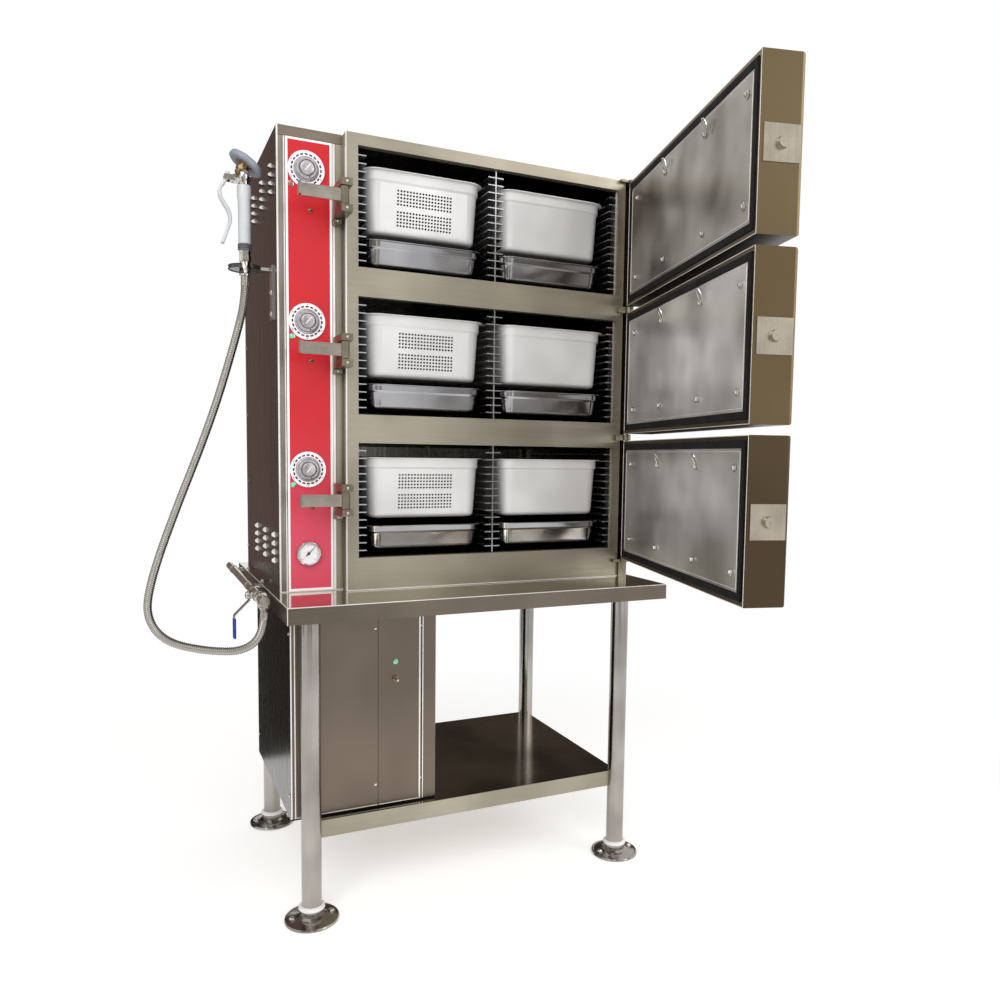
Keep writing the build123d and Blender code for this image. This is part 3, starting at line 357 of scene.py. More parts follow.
# Polished flats: clear reflections of what stands on them.
TOP_SHEET = SheetSteel("Stainless_sheet_polished_top", "#cfc6b8", 0.08, Grain.ALONG_X, "#b9af9f", 260.0,
                       scratch=0.02, relief_mm=0.004)
SHELF_SHEET = SheetSteel("Stainless_sheet_shelf", "#b7aea1", 0.14, Grain.ALONG_X, "#766e64", 300.0)
TUBE_STEEL = SheetSteel("Stainless_tube_polished", "#b1aca7", 0.17, Grain.ALONG_Z, "#8f8984", 200.0, 2.0, 0.04)
# Thin folded edges painted near white, as if lit from the front: painted highlights that draw the bright outlines.
TRIM_PAINTED_HIGHLIGHT = SheetSteel("Stainless_trim_painted_highlight", "#f5f2ef", 0.2, Grain.ALONG_Z, "#dfdad5", 120.0,
                        scratch=0.02, relief_mm=0.01, metallic=0.4)
# Forward flanks of the louvres: near white, a painted highlight.
LOUVRE_PAINTED_HIGHLIGHT = SheetSteel("Stainless_louvre_painted_highlight", "#f0ece8", 0.2, Grain.NONE, "#dcd6d0", 20.0,
                        scratch=0.02, relief_mm=0.01, metallic=0.4)
# Doors: a painted reflection of a brown room on the skins, with painted shade on their undersides, and a soft cloudy
# painted reflection on the liners; each level is painted a shade lighter or darker, as the light falls on it.
DOOR_SKINS_PAINTED_REFLECTION = {level: SheetSteel(f"Stainless_door_skin_painted_reflection_{level}", colour, 0.3, Grain.ALONG_Z, shadow, 300.0,
                                 scratch=0.004, relief_mm=0.002, painted_underside_shade="#332c26", gloss=0.01)
               for level, colour, shadow in (("top", "#76674d", "#6f6048"), ("middle", "#6f5f48", "#67583f"),
                                             ("bottom", "#5b4c3a", "#514434"))}
DOOR_LINERS_PAINTED_REFLECTION = {level: SheetSteel(f"Stainless_door_liner_painted_reflection_{level}", colour, 0.3, Grain.NONE, shadow, 210.0,
                                  scratch=0.01, relief_mm=0.004, metallic=0.62, gloss=0.02)
                for level, colour, shadow in (("top", "#b3aea6", "#6a6158"), ("middle", "#ebe9e6", "#aeaaa5"),
                                              ("bottom", "#cfccc7", "#95918b"))}
STRIKE_SHEET = SheetSteel("Stainless_plate_strike", "#b3aa9b", 0.3, Grain.ALONG_Z, "#a1988a", 60.0,
                          scratch=0.02, relief_mm=0.01)
# Compartments: painted shade, dull and dark, so that racks and pans stand out against near black.
CHAMBER_PAINTED_SHADE = SheetSteel("Stainless_chamber_painted_shade", "#625f60", 0.3, Grain.ALONG_Y, "#302e2f", 160.0)
# Rear baffles: pale, a painted reflection of light on the compartments' back walls.
BAFFLE_PAINTED_REFLECTION = SheetSteel("Stainless_rear_baffle_painted_reflection", "#cfccc8", 0.3, Grain.ALONG_Z, "#a5a29e", 120.0,
                          scratch=0.04, relief_mm=0.01)
RACK_STEEL = BrightMetal("Stainless_strip_electropolished", "#bdbcbd", 0.2)
PAN_STEEL = PressedSteel("Stainless_pan_bead_blasted", "#e8e7e6", 0.42, "#d6d5d4", 0.4)
TRAY_STEEL = PressedSteel("Stainless_tray_bright", "#b3b3b6", 0.16, "#929195")
# Inside of the pans: near black, painted shade, so that their holes show dark.
PAN_INSIDE_PAINTED_SHADE = PressedSteel("Stainless_pan_inside_painted_shade", "#2e2d2d", 0.55, "#262525")
# Castings, bars and fasteners.
CAST_STEEL = SheetSteel("Stainless_casting_ground", "#8e8675", 0.33, Grain.ALONG_Z, "#756d5e", 60.0)
HANDLE_STEEL = SheetSteel("Stainless_bar_ground", "#ada59c", 0.3, Grain.ALONG_X, "#968d83", 60.0)
BOILER_STEEL = SheetSteel("Stainless_vessel_welded", "#7b7771", 0.4, Grain.NONE, "#5d5954", 90.0)
SCREW_STEEL = BrightMetal("Stainless_fastener_bright", "#d3d0cc", 0.14, 4.0)
CHROME = BrightMetal("Brass_chrome_plated", "#cfccc6", 0.08, 10.0)
WARM_CHROME = BrightMetal("Brass_plating_worn", "#7d6b52", 0.16, 8.0)
HOSE_STEEL = BrightMetal("Stainless_strip_wound_hose", "#a7a39c", 0.2, 6.0)
PIPE_STEEL = BrightMetal("Stainless_pipe_drawn", "#cdc9c2", 0.22)
# Controls: clean print and enamel, and turned skirts that catch the light in rings.
OVERLAY_RED = Moulded("Polyester_overlay_red_print", "#c51f26", 0.38, 1.2, 0.02, 0.05, "#be2029", 0.3,
                      (1250.0, 850.0, "#d24b61"))
OVERLAY_WHITE = Moulded("Polyester_overlay_white_print", "#f4f1f2", 0.36, 1.2, 0.02, 0.2)
DIAL_WHITE = Moulded("Enamelled_dial_white", "#efe9ee", 0.3, 2.0, 0.01, 0.4)
INK_BLACK = Moulded("Print_ink_black", "#26232b", 0.5, 1.0, 0.01)
NEEDLE_PAINT = Moulded("Aluminium_needle_black_paint", "#1b1a1e", 0.4, 1.0, 0.01)
KNOB_METAL = SheetSteel("Aluminium_turned_skirt", "#c6c3c6", 0.24, Grain.NONE, "#a7a4a7", 14.0, 1.0,
                        relief_mm=0.01, metallic=0.7)
LENS_GREEN = LitLens("Polycarbonate_lens_green_lit", "#5fc08a", 0.2, 0.5)
LENS_AMBER = LitLens("Polycarbonate_lens_amber_unlit", "#9a6b45", 0.2)
WINDOW = ClearSheet("Acrylic_window_clear", "#ffffff", 0.03)
# Rubber and polymer: matt greys and black, broken by a fine skin texture.
GREY_POLYMER = Moulded("Acetal_moulded_grey", "#c9cdcf", 0.4, 1.4, 0.04, 0.1, "#bdc1c4")
COLLAR_RUBBER = Moulded("Rubber_collar_dark_grey", "#54575b", 0.45, 1.4, 0.04, 0.1)
BUMPER_RUBBER = Moulded("Rubber_moulded_bumper_grey", "#979ca5", 0.55, 1.8, 0.06, 0.0, "#7f858f")
HOOK_RUBBER = Moulded("Plastisol_dipped_hook_black", "#232326", 0.3, 2.4, 0.05, 0.5, "#2f2f32")
SILICONE = Moulded("Silicone_extruded_seal", "#131214", 0.7, 3.0, 0.05, 0.0, "#1b191b", 0.15)
SLEEVE_BLUE = Moulded("Vinyl_dipped_sleeve_blue", "#1d2a86", 0.3, 2.0, 0.05, 0.3, "#24339a")
MODULE_BLACK = Moulded("Phenolic_moulded_black", "#28282a", 0.5, 2.0)
WHITE_NYLON = Moulded("Nylon_bushing_white", "#e9e8e6", 0.4, 2.0, 0.02)


# ------------------------------------------------------------------ meshes
class Form:
    """Vertices and faces of one piece, gathered in millimetres."""

    def __init__(self) -> None:
        """Start with nothing."""
        self.verts: list[Vector] = []
        self.faces: list[tuple[int, ...]] = []

    def skin(self, rings: Sequence[Sequence[Point]], caps: tuple[bool, bool] = (True, True),
             skip: Callable[[int, int], bool] | None = None) -> "Form":
        """Join closed rings of equal count with quads.

        Args:
            rings: Rings of points in millimetres.
            caps: Whether the first and last ring are closed with a face.
            skip: Tells of a ring and side number whether its quad is left out.

        Returns:
            This form.
        """
        first, count = len(self.verts), len(rings[0])
        self.verts += [Vector(p) for ring in rings for p in ring]
        for i in range(len(rings) - 1):
            for k in range(count):
                if skip is not None and skip(i, k):
                    continue
                a, b = first + i * count + k, first + i * count + (k + 1) % count
                self.faces.append((a, b, b + count, a + count))
        if caps[0]:
            self.faces.append(tuple(reversed(range(first, first + count))))
        if caps[1]:
            self.faces.append(tuple(range(first + (len(rings) - 1) * count, first + len(rings) * count)))
        return self

    def lathe(self, profile: Sequence[tuple[float, float]], at: Point, axis: Point = (0, 0, 1),
              steps: int = 32, hollow: bool = False) -> "Form":
        """Turn a profile of radius and height round an axis.

        Args:
            profile: Radius and height pairs, from the first end to the last.
            at: Where height nought lies.
            axis: Direction of growing height.
            steps: Sides of the turned form.
            hollow: Whether the profile closes on itself, which leaves a ring.

        Returns:
            This form.
        """
        if hollow:
            profile = [*profile, profile[0]]
        turn = Vector(axis).to_track_quat("Z", "Y")
        rings = [[Vector(at) + turn @ Vector((r * math.cos(a), r * math.sin(a), h))
                  for a in (2 * math.pi * k / steps for k in range(steps))] for r, h in profile]
        return self.skin(rings, (not hollow, not hollow))

    def rod(self, start: Point, end: Point, radius: float, steps: int = 20, edge: float = 0.6) -> "Form":
        """Round bar, its ends slightly broken.

        Args:
            start: Middle of one end.
            end: Middle of the other end.
            radius: Its radius.
            steps: Its sides.
            edge: Chamfer of the ends.

        Returns:
            This form.
        """
        length = (Vector(end) - Vector(start)).length
        edge = min(edge, radius / 2, length / 3)
        profile = [(radius - edge, 0.0), (radius, edge), (radius, length - edge), (radius - edge, length)]
        return self.lathe(profile, start, Vector(end) - Vector(start), steps)

    def tube(self, path: Sequence[Vector], radius: Callable[[float], float], steps: int = 14) -> "Form":
        """Sweep a circle along a path.

        Args:
            path: Points of its middle.
            radius: Gives the radius at a distance along the path.
            steps: Sides of the tube.

        Returns:
            This form.
        """
        rings, along, side = [], 0.0, Vector((0, 1, 0))
        for i, p in enumerate(path):
            ahead = (path[min(i + 1, len(path) - 1)] - path[max(i - 1, 0)]).normalized()
            side = (side - ahead * side.dot(ahead)).normalized()
            up = ahead.cross(side)
            along += (p - path[i - 1]).length if i else 0.0
            r = radius(along)
            rings.append([p + side * (r * math.cos(a)) + up * (r * math.sin(a))
                          for a in (2 * math.pi * k / steps for k in range(steps))])
        return self.skin(rings)

    def block(self, low: Point, high: Point, edge: float = 0.8) -> "Form":
        """Rectangular block with chamfered edges.

        Args:
            low: Lowest corner.
            high: Highest corner.
            edge: Width of the chamfer.

        Returns:
            This form.
        """
        lo, hi = Vector(low), Vector(high)
        edge = min(edge, *(0.45 * d for d in hi - lo))
        rings = []
        for z, inset in ((lo.z, edge), (lo.z + edge, 0.0), (hi.z - edge, 0.0), (hi.z, edge)):
            rings.append(octagon(lo.x + inset, hi.x - inset, lo.y + inset, hi.y - inset, edge, z))
        return self.skin(rings)

    def blocks(self, corners: Iterable[tuple[Point, Point]], edge: float) -> "Form":
        """Several blocks with the same chamfer."""
        for low, high in corners:
            self.block(low, high, edge)
        return self

    def strip(self, path: Sequence[Point], width: Vector, thick: float, edge: float = 0.5) -> "Form":
        """Flat bar that follows a path, with a rounded section.

        Args:
            path: Points along the bar's middle.
            width: Half its width, as a vector square to the path.
            thick: Full thickness.
            edge: Broken edge along the bar.

        Returns:
            This form.
        """
        points, rings, t = [Vector(p) for p in path], [], thick / 2
        across = width.normalized()
        reach = width.length
        for i, p in enumerate(points):
            ahead = (points[min(i + 1, len(points) - 1)] - points[max(i - 1, 0)]).normalized()
            up = across.cross(ahead).normalized()
            outline = ((-reach + edge, -t), (reach - edge, -t), (reach, -t + edge), (reach, t - edge),
                       (reach - edge, t), (-reach + edge, t), (-reach, t - edge), (-reach, -t + edge))
            rings.append([p + across * u + up * v for u, v in outline])
        return self.skin(rings)

    def join(self, other: "Form") -> "Form":
        """Take over another form's vertices and faces."""
        first = len(self.verts)
        self.verts += other.verts
        self.faces += [tuple(i + first for i in face) for face in other.faces]
        return self

    def moved(self, change: Matrix) -> "Form":
        """Move everything gathered so far."""
        self.verts = [change @ v for v in self.verts]
        return self

    def place(self, name: str, body: str, finish: Finish, slot: str, flat: float = 35.0,
              replaces: Iterable[str] = (), second: tuple[int, Finish] | None = None) -> bpy.types.Object:
        """Make the piece and let it ride on a body.

        Args:
            name: Name of the piece.
            body: Body it moves with.
            finish: Its finish.
            slot: Not used.
            flat: Angle in degrees above which an edge stays sharp.
            replaces: Solids that it stands for.
            second: Number of the first face with another finish, and that finish.

        Returns:
            The new object.
        """
        mesh = bpy.data.meshes.new(name)
        mesh.from_pydata([v * MM for v in self.verts], [], self.faces)
        mesh.validate()
        mesh.shade_smooth()
        mesh.set_sharp_from_angle(angle=math.radians(flat))
        mesh.materials.append(finish.material())
        if second is not None:
            mesh.materials.append(second[1].material())
            for face in mesh.polygons[second[0]:]:
                face.material_index = 1
        made = bpy.data.objects.new(name, mesh)
        bpy.context.scene.collection.objects.link(made)
        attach(made, body)
        for node in replaces:
            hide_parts(node)
        return made


def octagon(x0: float, x1: float, y0: float, y1: float, cut: float, z: float) -> Ring:
    """Rectangle with its corners cut, as a ring at one height."""
    return [Vector((x, y, z)) for x, y in (
        (x0 + cut, y0), (x1 - cut, y0), (x1, y0 + cut), (x1, y1 - cut),
        (x1 - cut, y1), (x0 + cut, y1), (x0, y1 - cut), (x0, y0 + cut))]


def rounded(half_x: float, half_y: float, radius: float, z: float, steps: int = 6) -> Ring:
    """Rectangle with rounded corners, as a ring about the origin that starts at the front left corner.

    Args:
        half_x: Half its length.
        half_y: Half its width.
        radius: Radius of the corners.
        z: Height of the ring.
        steps: Pieces of one corner.

    Returns:
        The ring's points.
    """
    ring = []
    for quarter, (sx, sy) in enumerate(((-1, -1), (1, -1), (1, 1), (-1, 1))):
        for k in range(steps + 1):
            a = math.radians(180 + 90 * quarter + 90 * k / steps)
            ring.append(Vector((sx * (half_x - radius) + radius * math.cos(a),
                                sy * (half_y - radius) + radius * math.sin(a), z)))
    return ring


def box_mm(node: str) -> tuple[Vector, Vector]:
    """Lowest and highest corner of a solid, in millimetres."""
    low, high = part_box(node)
    return low / MM, high / MM


def dress(nodes: Iterable[str], finish: Finish) -> None:
    """Give each of these solids a finish."""
    for node in nodes:
        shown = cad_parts[node]
        shown.data.materials.clear()
        shown.data.materials.append(finish.material())


def dress_part(node: str, finish: Finish, inside: Callable[[Vector], bool]) -> None:
    """Give another finish to those faces of a solid whose middle, in millimetres, passes a test."""
    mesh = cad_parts[node].data
    mesh.materials.append(finish.material())
    for face in mesh.polygons:
        if inside(face.center / MM):
            face.material_index = len(mesh.materials) - 1


def turned(name: str, body: str, finish: Finish, slot: str, profile: Sequence[tuple[float, float]], at: Point,
           axis: Point = UP, steps: int = 32, hollow: bool = False, flat: float = 35.0,
           replaces: Iterable[str] = ()) -> None:
    """Make one piece that is turned from a single profile.

    Args:
        name: Name of the piece.
        body: Body it moves with.
        finish: Its finish.
        slot: Not used; handed on to place, which ignores it.
        profile: Radius and height pairs.
        at: Where height nought lies.
        axis: Direction of growing height.
        steps: Sides of the turned form.
        hollow: Whether the profile closes on itself.
        flat: Angle in degrees above which an edge stays sharp.
        replaces: Solids that it stands for.
    """
    Form().lathe(profile, at, axis, steps, hollow).place(name, body, finish, slot, flat, replaces)


@dataclass(frozen=True)
class Screw:
    """Small fastener with a domed or hexagonal head over a washer."""
    radius: float = 4.0
    height: float = 3.0
    washer: float = 0.0
    sides: int = 16

    def add(self, form: Form, at: Point, axis: Point) -> None:
        """Add one screw to a form.

        Args:
            form: Form that gets it.
            at: Where it stands.
            axis: Direction in which its head points.
        """
        base = 0.0
        if self.washer:
            form.lathe([(self.washer, 0.0), (self.washer, 0.9), (self.washer - 0.5, 1.2)], at, axis, 20)
            base = 1.0
        r, h = self.radius, self.height
        form.lathe([(r, base), (r, base + 0.45 * h), (0.8 * r, base + 0.8 * h), (0.35 * r, base + h)],
                   at, axis, self.sides)


# ------------------------------------------------------------------ stage
@dataclass
class Studio:
    """Camera, plain pale floor and soft lights."""
    eye: Point = (-825.4, -2277.12, 1131.94)
    yaw: float = 0.4461
    pitch: float = -0.0801
    roll: float = 0.014
    focal_px: float = 835.66
    centre_px: tuple[float, float] = (521.53, 523.23)
    image_px: float = 1000.0
    sensor: float = 36.0

    def camera(self) -> None:
        """Make the camera at the photograph's place and angle."""
        ahead = Vector((math.sin(self.yaw) * math.cos(self.pitch), math.cos(self.yaw) * math.cos(self.pitch),
                        math.sin(self.pitch)))
        level = Vector((math.cos(self.yaw), -math.sin(self.yaw), 0.0))
        above = level.cross(ahead)
        right = level * math.cos(self.roll) + above * math.sin(self.roll)
        up = above * math.cos(self.roll) - level * math.sin(self.roll)
        lens = bpy.data.cameras.new("camera")
        lens.sensor_width = self.sensor
        lens.lens = self.focal_px / self.image_px * self.sensor
        lens.shift_x = -(self.centre_px[0] - self.image_px / 2) / self.image_px
        lens.shift_y = (self.centre_px[1] - self.image_px / 2) / self.image_px
        lens.clip_end = 100.0
        made = bpy.data.objects.new("camera", lens)
        turn = Matrix((right, up, -ahead)).transposed().to_4x4()
        made.matrix_world = Matrix.Translation(Vector(self.eye) * MM) @ turn
        bpy.context.scene.collection.objects.link(made)
        bpy.context.scene.camera = made

    def world(self, level: float = 0.62) -> None:
        """White backdrop for the eye and the metal, and a softer level for the light.

        Args:
            level: Strength of the light that the backdrop gives.
        """
        made = bpy.data.worlds.new("studio")
        made.use_nodes = True
        tree = made.node_tree
        tree.nodes.clear()
        path = add_node(tree, "ShaderNodeLightPath")
        either = add_node(tree, "ShaderNodeMath", {
            0: path.outputs["Is Camera Ray"], 1: path.outputs["Is Glossy Ray"]}, operation="MAXIMUM").outputs[0]
        seen = add_node(tree, "ShaderNodeMath", {
            0: either, 1: path.outputs["Is Transmission Ray"]}, operation="MAXIMUM").outputs[0]
        light = add_node(tree, "ShaderNodeBackground", {"Color": (1.0, 1.0, 1.0, 1.0), "Strength": level})
        shown = add_node(tree, "ShaderNodeBackground", {"Color": (1.0, 1.0, 1.0, 1.0), "Strength": 1.0})
        mixed = add_node(tree, "ShaderNodeMixShader", {0: seen, 1: light.outputs[0], 2: shown.outputs[0]})
        add_node(tree, "ShaderNodeOutputWorld", {"Surface": mixed.outputs[0]})
        bpy.context.scene.world = made

    def panel(self, name: str, paint: str, corners: Sequence[Point]) -> tuple[bpy.types.Object, bpy.types.NodeTree]:
        """Make one flat piece of the stage.

        Args:
            name: Name of the piece.
            paint: Name of its material.
            corners: Its four corners in metres.

        Returns:
            The piece, and its material's empty node tree.
        """
        mesh = bpy.data.meshes.new(name)
        mesh.from_pydata(corners, [], [(0, 1, 2, 3)])
        made = bpy.data.objects.new(name, mesh)
        bpy.context.scene.collection.objects.link(made)
        coat = bpy.data.materials.new(paint)
        coat.use_nodes = True
        coat.node_tree.nodes.clear()
        mesh.materials.append(coat)
        return made, coat.node_tree

    def floor(self, size: float = 9.0, lift: float = 0.36, fade: tuple[float, float] = (0.9, 2.2)) -> None:
        """Pale floor that keeps the shadow and fades into the backdrop.

        Args:
            size: Half its width in metres.
            lift: Light of its own, which keeps the shadow soft.
            fade: Distances in metres where it starts to pass into the backdrop and has done so.
        """
        corners = [(x * size, y * size, -0.0005) for x, y in ((-1, -1), (1, -1), (1, 1), (-1, 1))]
        _, tree = self.panel("floor", "Studio_floor_matt_white", corners)
        place = add_node(tree, "ShaderNodeTexCoord").outputs["Object"]
        reach = add_node(tree, "ShaderNodeVectorMath", {0: place}, operation="LENGTH").outputs["Value"]
        far = add_node(tree, "ShaderNodeMapRange", {"Value": reach, "From Min": fade[0], "From Max": fade[1]},
                       interpolation_type="SMOOTHSTEP").outputs["Result"]
        matt = add_node(tree, "ShaderNodeBsdfDiffuse", {"Color": linear("#f6f5f4")})
        glow = add_node(tree, "ShaderNodeEmission", {"Color": linear("#f6f5f4"), "Strength": lift})
        near = add_node(tree, "ShaderNodeAddShader", {0: matt.outputs[0], 1: glow.outputs[0]})
        plain = add_node(tree, "ShaderNodeEmission", {"Color": (1.0, 1.0, 1.0, 1.0), "Strength": 1.0})
        mixed = add_node(tree, "ShaderNodeMixShader", {0: far, 1: near.outputs[0], 2: plain.outputs[0]})
        add_node(tree, "ShaderNodeOutputMaterial", {"Surface": mixed.outputs[0]})

    def flag(self, name: str, span_x: tuple[float, float], y: float, span_z: tuple[float, float], shade: str) -> None:
        """Card that only metal mirrors, to give its flats a tone and its curves an edge.

        Args:
            name: Name of the card.
            span_x: Its left and right end in metres.
            y: Its place in metres, in front of the object or behind it.
            span_z: Its lower and upper end in metres.
            shade: Its sRGB colour.
        """
        (x0, x1), (z0, z1) = span_x, span_z
        made, tree = self.panel(name, name, [(x0, y, z0), (x1, y, z0), (x1, y, z1), (x0, y, z1)])
        tone = add_node(tree, "ShaderNodeEmission", {"Color": linear(shade), "Strength": 1.0})
        add_node(tree, "ShaderNodeOutputMaterial", {"Surface": tone.outputs[0]})
        for ray in ("camera", "diffuse", "transmission", "volume_scatter", "shadow"):
            setattr(made, f"visible_{ray}", False)

    def lamp(self, name: str, at: Point, power: float, size: float, mirrored: bool = True) -> None:
        """Soft square lamp aimed at the middle of the object.

        Args:
            name: Name of the lamp.
            at: Where it stands, in metres.
            power: Its power in watts.
            size: Its side in metres.
            mirrored: Whether the metal mirrors it.
        """
        data = bpy.data.lights.new(name, "AREA")
        data.energy, data.size = power, size
        made = bpy.data.objects.new(name, data)
        made.location = at
        made.visible_glossy = mirrored
        made.rotation_euler = (Vector((0.0, 0.0, 1.0)) - Vector(at)).to_track_quat("-Z", "Y").to_euler()
        bpy.context.scene.collection.objects.link(made)

    def build(self) -> None:
        """Make the whole stage."""
        self.camera()
        self.world()
        self.floor()
        self.flag("card_left_low", (-2.4, -0.5), 0.85, (-0.3, 0.66), "#38332e")
        self.flag("card_left_high", (-2.4, -0.5), 0.85, (0.66, 3.4), "#7a6760")
        self.flag("card_back_right", (0.2, 3.4), 2.6, (-0.3, 3.4), "#4a423b")
        self.flag("card_front_left", (-4.6, -1.25), -3.3, (-0.5, 3.6), "#8f867c")
        self.flag("card_front_middle", (-0.85, -0.05), -3.3, (-0.5, 3.6), "#a1998f")
        self.flag("card_front_right", (2.9, 4.6), -3.6, (-0.5, 3.6), "#5a5046")
        self.lamp("key", (-2.4, -3.4, 3.4), 86.0, 2.4)
        self.lamp("front", (-0.3, -3.4, 1.8), 20.0, 1.6, False)
        self.lamp("fill", (2.6, -2.8, 2.4), 40.0, 2.4)
        bpy.context.scene.view_settings.view_transform = "Standard"


# ------------------------------------------------------------------ hose
@dataclass
class SprayHose:
    """Strip-wound steel hose from the spray valve down to the ball valve's elbow."""
    points: Sequence[Point] = (
        (-556, -198, 1542), (-556, -198, 1488), (-581.5, -201, 1387), (-636, -208, 1205), (-730, -221, 965),
        (-775, -238, 832), (-784, -250, 758), (-745, -263, 702), (-655, -290, 680), (-581, -316, 680),
        (-541, -330, 722), (-541, -330, 778))
    radius: float = 9.5
    root: float = 8.1
    pitch: float = 4.6
    cuff: float = 22.0           # plain end without ribs
    length: float = 1172.0
    path_step: float = 12.0      # between the points of the path that build works out

    def route(self) -> list[Vector]:
        """Return points along the smooth line through the hose's bends, in millimetres."""
        data = bpy.data.curves.new("hose_route", "CURVE")
        data.dimensions = "3D"
        line = data.splines.new("NURBS")
        line.points.add(len(self.points) - 1)
        for spot, p in zip(line.points, self.points):
            spot.co = (*(c * MM for c in p), 1.0)
        line.order_u = 3
        line.use_endpoint_u = True
        line.resolution_u = 40
        carrier = bpy.data.objects.new("hose_route", data)
        bpy.context.scene.collection.objects.link(carrier)
        mesh = bpy.data.meshes.new_from_object(carrier)
        found = [v.co / MM for v in mesh.vertices]
        bpy.data.objects.remove(carrier)
        bpy.data.meshes.remove(mesh)
        return found

    def even(self, route: Sequence[Vector], step: float) -> list[Vector]:
        """Return points a steady distance apart along the route.

        Args:
            route: Points along the hose's middle.
            step: Distance from point to point.

        Returns:
            The points, with the route's last one.
        """
        spots, left = [route[0]], step
        for a, b in zip(route, route[1:]):
            span = (b - a).length
            while span >= left and span > 0:
                a = a.lerp(b, left / span)
                spots.append(a)
                span, left = (b - a).length, step
            left -= span
        return [*spots, route[-1]]

    def wave(self, total: float) -> Callable[[float], float]:
        """Return the hose's radius against the distance along it.

        Args:
            total: Length of the hose.

        Returns:
            Function from a distance to the radius there.
        """
        def radius(along: float) -> float:
            """Return the radius of the cuff, or of the wave of ribs between the cuffs."""
            if along < self.cuff or along > total - self.cuff:
                return self.radius
            swing = 0.5 + 0.5 * math.cos(2 * math.pi * (along - self.cuff) / self.pitch)
            return self.root + (self.radius - self.root) * swing
        return radius

    def build(self) -> bpy.types.Object:
        """Make the ribbed tube."""
        route = self.route()
        spots = self.even(route, self.pitch / 4)
        if (spots[-1] - spots[-2]).length < 0.2:
            spots.pop(-2)
        total = sum((b - a).length for a, b in zip(spots, spots[1:]))
        made = Form().tube(spots, self.wave(total), 14).place(
            "hose_ribbed", ROOT, HOSE_STEEL, "hose_steel", 60.0, ["spray_hose"])
        path = [list(p * MM) for p in self.even(route, self.path_step)]
        return made


# ------------------------------------------------------------------ stand and base
@dataclass
class Stand:
    """Open stand: polished top, undershelf, four tube legs and their floor flanges."""
    legs: Sequence[tuple[float, float]] = ((-431, -298), (-431, 298), (431, -298), (431, 298))
    top_bolts: Sequence[tuple[float, float]] = ((438, -246), (438, -120), (438, 120), (-503.5, 200), (-503.5, -60))
    tube_r: float = 24.15
    collar_z: float = 30.0
    flange_z: float = 9.0
    anchor_x: float = 47.0       # flange's bolts from the leg's axis
    shelf_z: float = 241.5

    def feet(self) -> None:
        """Add the bushings and rolled rims of the feet."""
        bushings, rims, r = Form(), Form(), self.tube_r
        for x, y in self.legs:
            bushings.lathe([(r, 0.0), (31.5, 0.0), (31.5, 5.0), (28.0, 8.0), (r, 8.5)], (x, y, self.collar_z), steps=40)
            rims.lathe([(58.0, 5.6), (61.0, 7.6), (64.2, 6.6), (65.8, 3.4), (65.2, 0.6), (60.0, 0.2)], (x, y, 0.0),
                       steps=56)
        bushings.place("foot_bushings", ROOT, WHITE_NYLON, "tube_steel")
        rims.place("foot_rolled_rims", ROOT, TUBE_STEEL, "tube_steel")

    def bolts(self) -> None:
        """Add the bolts of the floor flanges and of the top."""
        form = Form()
        for x, y in self.legs:
            for side in (-1, 1):
                Screw(7.0, 5.0, 9.5, 6).add(form, (x + side * self.anchor_x, y, self.flange_z), UP)
        for x, y in self.top_bolts:
            Screw(4.5, 3.6, 8.0, 6).add(form, (x, y, FOOT_Z), UP)
        form.place("stand_bolts", ROOT, SCREW_STEEL, "tube_steel")

    def build(self) -> None:
        """Dress the solids and add the feet, the top's folded edges in a near-white painted highlight, and the bolts.
        """
        dress(["stand_top"], HEM_SHEET)
        dress_part("stand_top", TOP_SHEET, lambda p: p.z > FOOT_Z - 0.5)
        dress(["undershelf"], FRAME_SHEET)
        dress_part("undershelf", SHELF_SHEET, lambda p: p.z > self.shelf_z)
        dress(["stand_legs", "floor_flanges"], TUBE_STEEL)
        self.feet()
        (x0, y0, z0), (x1, y1, z1) = box_mm("stand_top")
        Form().blocks((((x0, y0 - 0.5, z1 - 1.4), (x1, y0 + 1.6, z1 + 0.5)),
                       ((x0 - 0.5, y0, z1 - 1.4), (x0 + 1.6, y1, z1 + 0.5)),
                       ((x0 - 0.5, y0 - 0.5, z0), (x0 + 1.4, y0 + 1.4, z1))), 0.4).place(
            "top_folded_edges", ROOT, TRIM_PAINTED_HIGHLIGHT, "brushed_front")
        self.bolts()


